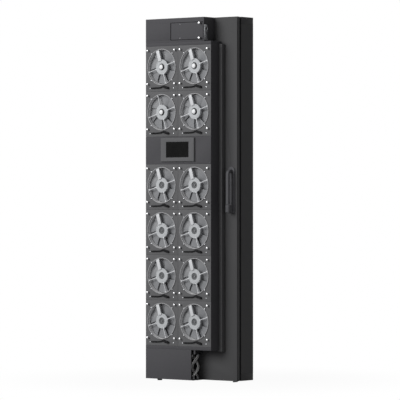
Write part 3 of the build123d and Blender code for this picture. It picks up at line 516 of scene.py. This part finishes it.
class FanPlates(bpy.types.Operator):
    """Makes the twelve fan plates with their rolled throats, lugs, screws, housings and wire guards"""
    bl_idname = "rear_door.fan_plates"
    bl_label = "Fan plates"

    def execute(self, context):
        low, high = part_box("fan_plates")
        box_low, box_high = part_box("fan_box_shell")
        width = (box_high.x - box_low.x) / 2 - 2 * (box_high.x - high.x)
        foot = low.z - min(centre.z for centre in FAN_CENTRES)
        head = high.z - max(centre.z for centre in FAN_CENTRES)
        hole = context.scene.door_fan.throat_radius / MM
        ring = 106
        sheet = plate_with_hole(width, foot, head, (ring - 0.5) * MM, 2 * MM)
        piece("fan_plate_sheets", copies(sheet, FAN_CENTRES), "door", "plate_paint", "fan_plates", smooth=30)
        # The housing walls wear the near-white painted light
        housing = closed_spin([(hole, 1.5), (hole + 2, 1.5), (hole + 2, 50), (hole, 50)], 72)
        piece("fan_housings", copies(housing, FAN_CENTRES), "door", "plate_paint", None, ["painted_light_fan_housing"], 30)
        # A wire guard behind each rotor; its light grey is painted light for the shade between the blades
        guard = bmesh.new()
        for radius in range(28, 102, 8):
            wire = [(radius + 0.9, 51), (radius, 50.1), (radius - 0.9, 51), (radius, 51.9)]
            join(guard, closed_spin(wire, 40))
        for turn in range(17, 360, 60):
            spoke = slab(bmesh.new(), mm(26, 51.9, -1), mm(102, 53.9, 1), 0)
            join(guard, copies(spoke, [about_fan_axis(turn)]))
        piece("fan_wire_guards", copies(guard, FAN_CENTRES), "door", "bright_screw", None,
              ["guard_wire_painted_light"], 50)
        # The rolled rims wear the light grey of a painted highlight along their lit edge
        throat = closed_spin([(hole, 1.9), (hole, -3.4), (hole + 0.5, -4.5), (hole + 1.4, -5),
                              (ring - 1.4, -5), (ring - 0.4, -4.4), (ring, -3.3), (ring, 1.9)], 72)
        piece("fan_throats", copies(throat, FAN_CENTRES), "door", "plate_paint", None, ["rim_painted_highlight"], 30)
        corners = [about_fan_axis(turn) @ LUG_REACH for turn in LUG_ANGLES]
        lug = spun([(0, 0.5), (6, 0.5), (6, -1.8), (5.2, -2.6), (0, -2.6)], 18)
        lug_places = [centre + corner for centre in FAN_CENTRES for corner in corners]
        piece("fan_lugs", copies(lug, lug_places), "door", "plate_paint", smooth=30)
        places = []
        for centre in FAN_CENTRES:
            places += [centre + corner + mm(0, -2.6, 0) for corner in corners]
            places += [centre + mm(x, 0, -124) for x in (-89, 87)]
        piece("fan_plate_screws", copies(pan_screw(3, 1.6), places), "door", "zinc_steel", smooth=40)
        return {"FINISHED"}


class FanMotors(bpy.types.Operator):
    """Makes the cast motor discs, their caps or sockets, and the struts that hold them"""
    bl_idname = "rear_door.fan_motors"
    bl_label = "Fan motors"

    def execute(self, context):
        hole = context.scene.door_fan.throat_radius / MM
        self.discs()
        strut = slab(bmesh.new(), mm(41, -1.9, -2), mm(hole - 0.2, 4, 2), 0.9)
        slab(strut, mm(hole - 7, -3.2, -5), mm(hole - 0.2, 4.2, 5), 1.6, 3)
        slab(strut, mm(40, -2.6, -4.5), mm(48, 4.2, 4.5), 1.6, 3)
        turns = [about_fan_axis(angle) for angle in STRUT_ANGLES]
        places = [Matrix.Translation(centre) @ turn for centre in FAN_CENTRES for turn in turns]
        piece("fan_struts", copies(strut, places), "door", "fan_motor", None, ["cable_cover"], 40)
        cover = slab(bmesh.new(), mm(36, -7, -11.5), mm(99.5, -2.05, 11.5), 1.8, 4)
        for start in (40, 90):
            slab(cover, mm(start, -6.4, -12.4), mm(start + 4, -2.1, 12.4), 0.6)
        covered = [centre for number, centre in enumerate(FAN_CENTRES, 1) if number != FAN_WITHOUT_COVER]
        places = [Matrix.Translation(centre) @ about_fan_axis(COVER_ANGLE) for centre in covered]
        piece("fan_cable_shields", copies(cover, places), "door", "cable_cover", "fan_cable_covers",
              smooth=40)
        return {"FINISHED"}

    def discs(self):
        """The top rows' discs have a cap painted near white, a painted highlight for the lamp's reflection in
        the glossy dish; the others have an open socket with the shaft's end, painted dark as painted shade.
        """
        bore, rim = 4.05, 44
        shared = [(bore, 6), (rim - 1, 6), (rim, 5), (rim, -0.6), (rim - 1.4, -2), (39, -2), (38.4, -1.3),
                  (36, -1.3), (35.4, -2), (21.5, -2), (20.4, -1.2), (19.8, 3.4)]
        socket = shared + [(11, 3.8), (10.4, 4.8), (bore, 4.8)]
        cap = [(0, 0.1), (bore, 0.1)] + shared + [(14, 3.8), (13.6, -8), (12.6, -9.6), (9, -11), (4.5, -11.8),
                                                  (0, -12)]
        top_rows = [centre for centre in FAN_CENTRES if centre.z > CAPPED_ABOVE]
        low_rows = [centre for centre in FAN_CENTRES if centre.z <= CAPPED_ABOVE]
        discs = copies(spun(cap, 48), top_rows)
        join(discs, copies(closed_spin(socket, 48), low_rows))
        for face in discs.faces:
            middle = face.calc_center_median()
            near = min(FAN_CENTRES, key=lambda centre: (centre - middle).xz.length)
            if (middle - near).xz.length < 19 * MM:
                # Near the axis, the top rows' proud cap faces take the painted highlight and all other middle
                # faces the painted shade
                face.material_index = 1 if near.z > CAPPED_ABOVE and middle.y < FACE_Y - 5 * MM else 2
        piece("fan_motor_discs", discs, "door", "fan_motor", "fan_motors",
              ["fan_motor", "motor_cap_painted_highlight", "motor_socket_painted_shade"], 30)


class FanRotors(bpy.types.Operator):
    """Makes each impeller with its hub and swept blades, riding on its own shaft"""
    bl_idname = "rear_door.fan_rotors"
    bl_label = "Fan rotors"

    def execute(self, context):
        fan = context.scene.door_fan
        hub, front, back = fan.hub_radius / MM, 8, 46
        for number, centre in enumerate(FAN_CENTRES, start=1):
            rotor = spun([(0, 0.3), (4, 0.3), (4, front), (hub - 2, front), (hub, front + 2), (hub, back - 5),
                          (hub - 4, back), (12, back), (12, back - 2), (0, back - 2)], 48)
            turned_on = (24 if number in FANS_TURNED_ON else 0) + 3 * (number % 2)
            for index in range(fan.blade_count):
                turn = fan.rest_turn + math.radians(turned_on) + index * TURN / fan.blade_count
                self.blade(rotor, fan, turn)
            bmesh.ops.translate(rotor, vec=centre, verts=rotor.verts)
            piece(f"impeller_{number}", rotor, f"rotor_{number}", "fan_rotor", f"fan_rotor_{number}",
                  smooth=50)
        return {"FINISHED"}

    def blade(self, rotor, fan, turn):
        """One blade: a sheet bent from a grid, wider and flatter towards its tip."""
        sheet = bmesh.new()
        bmesh.ops.create_grid(sheet, x_segments=8, y_segments=7, size=1.0)
        root = fan.hub_radius - 1.5 * MM
        for vert in sheet.verts:
            chord, span = vert.co.x, (vert.co.y + 1) / 2
            radius = root + span * (fan.tip_radius - root)
            half = math.radians(32 - 3.5 * span)
            lean = math.radians(-4 + 12 * span)
            depth = 23 - 1.5 * span + (7 - 1.5 * span) * chord + 2.6 * (chord * chord - 0.5)
            angle = turn + lean - chord * half
            vert.co = (radius * math.cos(angle), depth * MM, radius * math.sin(angle))
        bmesh.ops.recalc_face_normals(sheet, faces=sheet.faces)
        bmesh.ops.solidify(sheet, geom=sheet.faces[:], thickness=2 * MM)
        join(rotor, sheet)


class FanFittings(bpy.types.Operator):
    """Makes the thumb screws at the plates' corners and each fan's plug and lead"""
    bl_idname = "rear_door.fan_fittings"
    bl_label = "Fan screws and leads"

    def execute(self, context):
        screw = spun([(0, 0), (3, 0), (3, -7.6), (4.6, -8.2), (5.8, -9), (6, -9.8), (6, -12.4), (5.5, -14.2),
                      (4.1, -15.5), (2.2, -15.9), (0, -15.95)], 20)
        for face in screw.faces:
            face.material_index = 0 if face.calc_center_median().y < -8 * MM else 1
        corners = [mm(x, 0, z) for x in (-101, 101) for z in (-98, 98)]
        places = [centre + corner for centre in FAN_CENTRES for corner in corners]
        piece("thumb_screws", copies(screw, places), "door", "bright_screw", "plate_thumb_screws",
              ["bright_screw", "zinc_steel"], 40)
        plug = slab(bmesh.new(), mm(15, -10, -121), mm(52, -0.05, -107.5), 1.6, 3)
        slab(plug, mm(51, -8, -119), mm(58, -0.05, -109.5), 1.2, 3)
        slab(plug, mm(22, -10.7, -117), mm(34, -9, -111), 0.6)
        hang = mm(15, 0, -114)
        tilt = Matrix.Translation(hang) @ about_fan_axis(-15) @ Matrix.Translation(-hang)
        bmesh.ops.transform(plug, matrix=tilt, verts=plug.verts)
        route = ((17, -113.5), (8, -114), (0, -118), (-14, -121), (-46, -122), (-76, -122.5))
        join(plug, tube([mm(x, -4.2, z) for x, z in route], 4.1 * MM, 10))
        piece("fan_plugs", copies(plug, FAN_CENTRES), "door", "black_plastic", "fan_leads", smooth=50)
        return {"FINISHED"}


class Sheetwork(bpy.types.Operator):
    """Gives the leaf, the boxes and the raceway their folded edges, seams and small screws"""
    bl_idname = "rear_door.sheetwork"
    bl_label = "Sheet metal"

    def execute(self, context):
        fold = context.scene.door_finish.edge_round / MM
        paints = {"fan_box_shell": "box_paint", "top_box": "box_paint", "bottom_box": "box_paint",
                  "door_skin": "door_paint", "wiring_raceway": "door_paint", "top_hatch": "box_paint",
                  "display_panel": "box_paint", "frame_top_rail": "frame_paint",
                  "frame_bottom_rail": "frame_paint"}
        for name, paint in paints.items():
            thin = name in ("top_hatch", "display_panel")
            body = "frame" if name.startswith("frame") else "door"
            # The raceway wears the lighter copy of the door paint: painted light on its shaded front
            worn = ["raceway_painted_light"] if name == "wiring_raceway" else None
            sheet = soft_edged(name, min(fold, 0.45) if thin else fold)
            piece(name + "_sheet", sheet, body, paint, name, worn, 40)
        self.top_box_seam()
        self.small_screws()
        return {"FINISHED"}

    def top_box_seam(self):
        """The top box's fixed front cover, and a black rubber strip round its hatch that stands in for the
        hatch's shadow gap, painted shade.
        """
        low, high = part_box("top_box")
        hatch_low, hatch_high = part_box("top_hatch")
        cover = slab(bmesh.new(), (low.x + 3 * MM, FACE_Y - 1.4 * MM, hatch_low.z),
                     (hatch_low.x - 5.5 * MM, FACE_Y - 0.02 * MM, high.z - 29 * MM), 0.4)
        piece("top_box_front_cover", cover, "door", "box_paint", smooth=40)
        # Painted shade: thin black strips laid along the hatch's left, top and bottom edges where its shadow
        # gap shows
        shadow_strip = bmesh.new()
        left, wide, tuck = hatch_low.x - 5 * MM, 3.2 * MM, 1 * MM
        trim = wide - 0.1 * MM
        for start, foot, end, head, proud in (
                (left, hatch_low.z - wide, hatch_low.x + tuck, hatch_high.z + wide, 0.4),
                (left + tuck, hatch_high.z - tuck, hatch_high.x, hatch_high.z + trim, 0.36),
                (left + tuck, hatch_low.z - trim, hatch_high.x, hatch_low.z + tuck, 0.36)):
            front = FACE_Y - proud * MM
            slab(shadow_strip, (start, front, foot), (end, front + 0.38 * MM, head), 0.15, 1)
        piece("hatch_shadow_strip", shadow_strip, "door", "gasket_rubber", smooth=40)

    def small_screws(self):
        """Pan head screws on the top box's covers, the box's flanges and the display band."""
        hatch_low, hatch_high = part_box("top_hatch")
        fan_low, fan_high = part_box("fan_box_shell")
        panel_low, panel_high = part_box("display_panel")
        places = []
        for z in (hatch_low.z + 8 * MM, hatch_high.z - 8 * MM):
            places += [(hatch_low.x + x, FACE_Y - 1.5 * MM, z) for x in (66 * MM, 198 * MM)]
        for z in (panel_low.z + 9 * MM, panel_high.z - 9 * MM):
            places += [(x, FACE_Y, z) for x in (panel_low.x + 9 * MM, panel_high.x - 9 * MM)]
        for x in (fan_low.x + 12 * MM, (fan_low.x + fan_high.x) / 2, fan_high.x - 12 * MM):
            places += [(x, FACE_Y, z) for z in (fan_low.z + 9 * MM, fan_high.z - 9 * MM)]
        screws = copies(pan_screw(2.8, 1.5), [Vector(place) for place in places])
        for face in screws.faces:
            # Screws round the hatch wear the rims' light grey, a painted highlight; the others wear plate
            # paint
            face.material_index = 1 if face.calc_center_median().z > hatch_low.z else 0
        piece("cover_screws", screws, "door", "plate_paint", None, ["plate_paint", "rim_painted_highlight"], 40)


class DisplayUnit(bpy.types.Operator):
    """Makes the display's bezel with its bevelled frame and the inner lip round the screen"""
    bl_idname = "rear_door.display"
    bl_label = "Display"

    def execute(self, context):
        piece("bezel_moulding", soft_edged("display_bezel", 1.2, 3), "door", "bezel_paint", "display_bezel",
              smooth=40)
        low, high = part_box("display_screen")
        lip = bmesh.new()
        wide, tuck = 3 * MM, 2 * MM
        for left, foot, right, head, proud in (
                (low.x, low.z, low.x + wide, high.z, 0.9), (high.x - wide, low.z, high.x, high.z, 0.9),
                (low.x + tuck, low.z, high.x - tuck, low.z + wide, 0.8),
                (low.x + tuck, high.z - wide, high.x - tuck, high.z, 0.8)):
            slab(lip, (left, low.y - proud * MM, foot), (right, low.y + (proud - 0.4) * MM, head), 0.3)
        piece("screen_lip", lip, "door", "black_plastic", smooth=40)
        return {"FINISHED"}


class TopFittings(bpy.types.Operator):
    """Makes the hatch's two knurled knobs and the metal cable inlet in the top box's side"""
    bl_idname = "rear_door.top_fittings"
    bl_label = "Hatch knobs and inlet"

    def execute(self, context):
        low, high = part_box("hatch_thumb_screws")
        knob = spun([(0, 0), (4, 0), (4, -8.5), (5.2, -9.2), (6.4, -10.2), (6.7, -11.4), (6.7, -15.4),
                     (6.1, -17.4), (4.6, -18.7), (2.6, -18.98), (0, -18.98)], 36)
        flutes = [f for f in knob.faces if -15.4 * MM < f.calc_center_median().y < -11.4 * MM]
        bmesh.ops.inset_individual(knob, faces=flutes[::2], thickness=0.25 * MM, depth=-0.35 * MM)
        for face in knob.faces:
            face.material_index = 0 if face.calc_center_median().y < -9 * MM else 1
        middle = (low.x + high.x) / 2
        places = [Vector((middle, FACE_Y - 1.5 * MM, z)) for z in (low.z + 8 * MM, high.z - 8 * MM)]
        piece("hatch_knobs", copies(knob, places), "door", "bright_screw", "hatch_thumb_screws",
              ["bright_screw", "black_plastic"])
        inlet = soft_edged("cable_inlet", 0.5)
        inlet_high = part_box("cable_inlet")[1]
        centre = Vector((inlet_high.x, FACE_Y + 21 * MM, inlet_high.z - 32 * MM))
        gland = closed_spin([(8.2, 3.5), (8.2, -0.2), (9.4, -0.6), (12.6, -0.6), (13.2, 0.2),
                             (13.2, 3.5)], 32)
        sideways = Matrix.Translation(centre) @ Matrix.Rotation(math.radians(90), 4, "Z")
        join(inlet, copies(gland, [sideways]))
        piece("cable_gland", inlet, "door", "zinc_steel", "cable_inlet")
        return {"FINISHED"}


class LatchSet(bpy.types.Operator):
    """Makes the pull handle with its bent bar and its arched base"""
    bl_idname = "rear_door.latch"
    bl_label = "Latch handle"

    def execute(self, context):
        piece("handle_plate", soft_edged("handle_base", 1.0, 3), "door", "handle_paint", "handle_base",
              smooth=40)
        base_front = SKIN_Y - 6.3 * MM
        drive = soft_edged("latch_handle", 0.0)
        bmesh.ops.bisect_plane(drive, geom=drive.verts[:] + drive.edges[:] + drive.faces[:], dist=1e-6,
                               plane_co=(0, base_front, 0), plane_no=(0, -1, 0), clear_outer=True)
        close_holes(drive)
        join(drive, self.bar(base_front + 1 * MM))
        piece("pull_handle", drive, "handle", "handle_paint", "latch_handle")
        return {"FINISHED"}

    def bar(self, back):
        """The bar: a rounded rectangle drawn up, round the bend and back to the base."""
        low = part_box("latch_handle")[0]
        width, depth, bend = 20 * MM, 17 * MM, 18 * MM
        middle, top = low.y + depth / 2, HANDLE_AXIS.z - bend
        bar = bmesh.new()
        section = bmesh.ops.create_grid(bar, x_segments=1, y_segments=1, size=0.5)["verts"]
        bmesh.ops.scale(bar, vec=(width, depth, 1), verts=section)
        bmesh.ops.translate(bar, vec=(HANDLE_AXIS.x, middle, low.z), verts=section)
        bmesh.ops.bevel(bar, geom=bar.verts[:], offset=5 * MM, segments=4, profile=0.5, affect="VERTICES",
                        material=-1)
        run = bmesh.ops.extrude_face_region(bar, geom=bar.faces[:])["geom"]
        moved, edges = only(BMVert, run), only(BMEdge, run)
        bmesh.ops.translate(bar, vec=(0, 0, top - low.z), verts=moved)
        bmesh.ops.delete(bar, geom=only(BMFace, run), context="FACES_ONLY")
        turned = bmesh.ops.spin(bar, geom=moved + edges, cent=(0, middle + bend, top), axis=(1, 0, 0),
                                angle=-TURN / 4, steps=8)["geom_last"]
        last = only(BMVert, turned)
        neck = bmesh.ops.extrude_edge_only(bar, edges=only(BMEdge, turned))["geom"]
        bmesh.ops.translate(bar, vec=(0, back - last[0].co.y, 0), verts=only(BMVert, neck))
        close_holes(bar)
        return bar


class WaterHoses(bpy.types.Operator):
    """Makes the two braided hoses that wind round each other, with their crimped ends"""
    bl_idname = "rear_door.hoses"
    bl_label = "Water hoses"

    def execute(self, context):
        low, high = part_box("supply_hose")
        manifold_low, manifold_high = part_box("hose_manifold")
        centre = (manifold_low + manifold_high) / 2
        for name, phase in (("supply", 0), ("return", 180)):
            points = [self.centre_line(centre, 22 + 12 * step, phase) for step in range(11)]
            foot, head = points[0].copy(), points[-1].copy()
            foot.z, head.z = low.z, high.z
            hose = tube([foot, *points, head], 8.5 * MM, 20, 6)
            piece(f"{name}_braided_hose", hose, "door", "braided_hose", f"{name}_hose", smooth=60)
            ends = bmesh.new()
            for place, lean in ((foot, 90), (head, -90)):
                crimp = closed_spin([(4, 0), (9.2, 0), (9.6, 0.8), (9.6, 3), (9.0, 3.6), (9.6, 4.2),
                                     (9.6, 7.6), (9.1, 8.2), (4, 8.2)], 28)
                move = Matrix.Translation(place) @ Matrix.Rotation(math.radians(lean), 4, "X")
                join(ends, copies(crimp, [move]))
            piece(f"{name}_hose_crimps", ends, "door", "zinc_steel", None, ["dark_nickel"])
        piece("hose_nuts", soft_edged("hose_couplings", 0.5), "door", "zinc_steel", "hose_couplings",
              ["dark_nickel"])
        return {"FINISHED"}

    def centre_line(self, centre, height, phase):
        """A point on a hose's winding, at a height in millimetres."""
        angle = math.radians(-51.5 + phase + 360 * (height - 39.3) / 151)
        x, y = centre.x + 18 * MM * math.cos(angle), centre.y + 18 * MM * math.sin(angle)
        return Vector((x, y, height * MM))


class CoilSet(bpy.types.Operator):
    """Makes the coil: thin fins, copper tubes through them, return bends, headers and pipes"""
    bl_idname = "rear_door.coil"
    bl_label = "Water coil"

    def execute(self, context):
        coil = context.scene.door_coil
        low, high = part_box("coil_fin_pack")
        fin = slab(bmesh.new(), (0, low.y, low.z), (coil.fin_sheet, high.y, high.z), 0)
        count = int((high.x - low.x) / coil.fin_pitch)
        fins = copies(fin, [(low.x + i * coil.fin_pitch, 0, 0) for i in range(count)])
        piece("coil_fins", fins, "door", "coil_fins", "coil_fin_pack", smooth=30)
        bends_low, bends_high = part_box("coil_return_bends")
        rows = (bends_low.y + coil.tube_radius, bends_high.y - coil.tube_radius)
        radius, reach = coil.tube_radius / MM, (high.x - low.x) / MM + 22
        run = closed_spin([(radius - 0.8, 0), (radius, 0), (radius, reach), (radius - 0.8, reach)], 12)
        levels = int((high.z - low.z) / coil.tube_pitch)
        heights = [low.z + (i + 0.5) * (high.z - low.z) / levels for i in range(levels)]
        along = Matrix.Rotation(math.radians(-90), 4, "Z")
        copper = copies(run, [Matrix.Translation((low.x, y, z)) @ along for z in heights for y in rows])
        socket = low.x + 1 * MM
        bend = bmesh.new()
        circle = bmesh.ops.create_circle(bend, segments=12, radius=coil.tube_radius + 0.3 * MM)["verts"]
        bmesh.ops.rotate(bend, verts=circle, matrix=Matrix.Rotation(math.radians(90), 3, "Y"))
        bmesh.ops.translate(bend, vec=(socket, rows[0], 0), verts=circle)
        bmesh.ops.spin(bend, geom=bend.verts[:] + bend.edges[:], cent=(socket, sum(rows) / 2, 0),
                       axis=(0, 0, 1), angle=-TURN / 2, steps=8)
        close_holes(bend)
        join(copper, copies(bend, [(0, 0, z) for z in heights]))
        piece("coil_tubes", copper, "door", "copper_tube", "coil_return_bends", smooth=50)
        for name, row in zip(("supply_header", "return_header"), rows):
            self.header(name, row, high.x + 22 * MM)
        return {"FINISHED"}

    def header(self, name, row, x):
        """One header with domed ends, and the pipe from it down to its port."""
        low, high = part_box(name)
        top, foot = high.z / MM, 93
        shell = spun([(0, foot), (7, foot + 1.5), (11.5, foot + 5), (13, foot + 10), (13, top - 10),
                      (11.5, top - 5), (7, top - 1.5), (0, top)], 24)
        upright = Matrix.Translation((x, row, 0)) @ Matrix.Rotation(math.radians(90), 4, "X")
        body = copies(shell, [upright])
        port, run_z, bend = low.x + 8 * MM, low.z + 8 * MM, 20 * MM
        leaf_y, port_z = SKIN_Y + 11.5 * MM, 163 * MM
        route = [(x, row, (foot + 20) * MM), (x, row, run_z + bend), (x, row, run_z), (x - bend, row, run_z),
                 (port + bend, row, run_z), (port, row, run_z), (port, row - bend, run_z),
                 (port, leaf_y, run_z), (port, leaf_y, run_z + bend), (port, leaf_y, port_z - 11 * MM),
                 (port, leaf_y, port_z), (port, SKIN_Y, port_z)]
        join(body, tube(route, 8 * MM, 16, 5))
        piece(name + "_pipe", body, "door", "copper_tube", name, smooth=50)


class HingeScrews(bpy.types.Operator):
    """Makes the screws in the hinge leaves on the frame and on the door"""
    bl_idname = "rear_door.hinge_screws"
    bl_label = "Hinge screws"

    def execute(self, context):
        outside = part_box("frame_left_post")[0].x - 4 * MM
        outwards = Matrix.Rotation(math.radians(-90), 4, "Z")
        for body, rows, heights in (("frame", (-0.1, -0.08), (-28, -12)),
                                    ("door", (-0.146, -0.165), (12, 28))):
            places = [Matrix.Translation((outside, y, hinge + dz * MM)) @ outwards
                      for hinge in HINGE_HEIGHTS for dz in heights for y in rows]
            piece(body + "_hinge_screws", copies(pan_screw(3.6, 1.2), places), body, "zinc_steel", smooth=40)
        return {"FINISHED"}


class CadFinishes(bpy.types.Operator):
    """Gives every part that keeps its CAD shape the material of its slot, or a finish of its own"""
    bl_idname = "rear_door.cad_finishes"
    bl_label = "Finishes on plain parts"

    def execute(self, context):
        worn = {part["node"]: part["material_slot"] for part in frame["record"]["subparts"]}
        worn["lock_cylinder"] = "handle_paint"
        worn["fan_support_panel"] = "box_paint"
        worn["hose_manifold"] = worn["frame_strikers"] = "dark_nickel"
        for name, part in frame["nodes"].items():
            part.data.materials.clear()
            part.data.materials.append(finish_of(worn[name]))
        return {"FINISHED"}


class Stage(bpy.types.Operator):
    """Sets the pale floor, the soft light, the white surround and the camera"""
    bl_idname = "rear_door.stage"
    bl_label = "Stage"

    def execute(self, context):
        scene, stage = context.scene, context.scene.door_stage
        self.floor(scene)
        self.surround(scene, stage.fill_level)
        self.lamp(scene, "key_light", Vector((-4.6, -10.8, 6.0)), Vector((0, -0.1, 1.0)), 9.0,
                  stage.key_power * 1350)
        camera = bpy.data.cameras.new("camera")
        camera.lens = stage.camera_lens
        camera.sensor_width = 36
        camera.clip_end = 100
        holder = bpy.data.objects.new("camera", camera)
        holder.location = stage.camera_place
        holder.rotation_euler = (math.radians(90), 0, stage.camera_turn)
        scene.collection.objects.link(holder)
        scene.camera = holder
        scene.view_settings.view_transform = "Standard"
        return {"FINISHED"}

    def lamp(self, scene, name, place, target, size, power):
        """A round soft light at a place, turned towards a target."""
        light = bpy.data.lights.new(name, "AREA")
        light.shape = "DISK"
        light.size = size
        light.energy = power
        holder = bpy.data.objects.new(name, light)
        holder.location = place
        holder.rotation_euler = (place - target).to_track_quat("Z", "Y").to_euler()
        scene.collection.objects.link(holder)

    def seen(self, tree):
        """1 for what the camera sees straight, in a mirror or through glass, and 0 for plain light."""
        path = node(tree, "ShaderNodeLightPath")
        direct = maths(tree, "MAXIMUM", path.outputs["Is Camera Ray"], path.outputs["Is Glossy Ray"])
        return maths(tree, "MAXIMUM", direct, path.outputs["Is Transmission Ray"])

    def floor(self, scene):
        """A pale floor that keeps the shadow near the door and fades to the white surround."""
        ground = bmesh.new()
        bmesh.ops.create_circle(ground, segments=96, radius=30.0, cap_ends=True)
        bmesh.ops.translate(ground, vec=(0, 0, FOOT_Z - 0.0005), verts=ground.verts)
        data = bpy.data.meshes.new("floor")
        ground.to_mesh(data)
        ground.free()
        floor = bpy.data.objects.new("floor", data)
        scene.collection.objects.link(floor)
        made = bpy.data.materials.new("floor")
        made.use_nodes = True
        tree = made.node_tree
        plain = tree.nodes["Principled BSDF"]
        plain.inputs["Base Color"].default_value = (0.42, 0.42, 0.42, 1)
        plain.inputs["Roughness"].default_value = 0.9
        plain.inputs["Specular IOR Level"].default_value = 0.0
        white = node(tree, "ShaderNodeEmission", Strength=1.0)
        place = node(tree, "ShaderNodeTexCoord").outputs["Object"]
        reach = node(tree, "ShaderNodeVectorMath", place, operation="LENGTH").outputs["Value"]
        fade = spread(tree, reach, 0.955, 1.0, From_Min=0.4, From_Max=1.6, interpolation_type="SMOOTHSTEP")
        share = maths(tree, "MULTIPLY", fade, self.seen(tree))
        mix = node(tree, "ShaderNodeMixShader", share, plain, white)
        tree.links.new(mix.outputs[0], tree.nodes["Material Output"].inputs["Surface"])
        data.materials.append(made)

    def surround(self, scene, level):
        """White where it is seen or mirrored, and a plain fill as a light."""
        world = bpy.data.worlds.new("surround")
        scene.world = world
        world.use_nodes = True
        tree = world.node_tree
        tree.nodes.clear()
        fill = node(tree, "ShaderNodeBackground", (1, 1, 1, 1), Strength=level)
        white = node(tree, "ShaderNodeBackground", (1, 1, 1, 1), Strength=1.0)
        mix = node(tree, "ShaderNodeMixShader", self.seen(tree), fill, white)
        node(tree, "ShaderNodeOutputWorld", mix)


OPERATORS = (Stage, CadFinishes, Sheetwork, FanPlates, FanMotors, FanRotors, FanFittings, DisplayUnit,
             TopFittings, LatchSet, WaterHoses, CoilSet, HingeScrews)
SETTINGS = (("door_fan", FanSettings), ("door_finish", FinishSettings), ("door_coil", CoilSettings),
            ("door_stage", StageSettings))


class RearDoorPanel(bpy.types.Panel):
    """Lists the steps that dress the door"""
    bl_idname = "VIEW3D_PT_rear_door"
    bl_label = "Rear door heat exchanger"
    bl_space_type = "VIEW_3D"
    bl_region_type = "UI"
    bl_category = "Rear Door"

    def draw(self, context):
        for step in OPERATORS:
            self.layout.operator(step.bl_idname)
        for name, kind in SETTINGS:
            box = self.layout.box()
            for field in kind.__annotations__:
                box.prop(getattr(context.scene, name), field)


def register():
    for name, kind in SETTINGS:
        bpy.utils.register_class(kind)
        setattr(bpy.types.Scene, name, PointerProperty(type=kind))
    for kind in (*OPERATORS, RearDoorPanel):
        bpy.utils.register_class(kind)


def unregister():
    for kind in (RearDoorPanel, *reversed(OPERATORS)):
        bpy.utils.unregister_class(kind)
    for name, kind in reversed(SETTINGS):
        delattr(bpy.types.Scene, name)
        bpy.utils.unregister_class(kind)


def main():
    register()
    make_finishes()
    for step in OPERATORS:
        family, action = step.bl_idname.split(".")
        getattr(getattr(bpy.ops, family), action)()


if __name__ == "__main__":
    main()
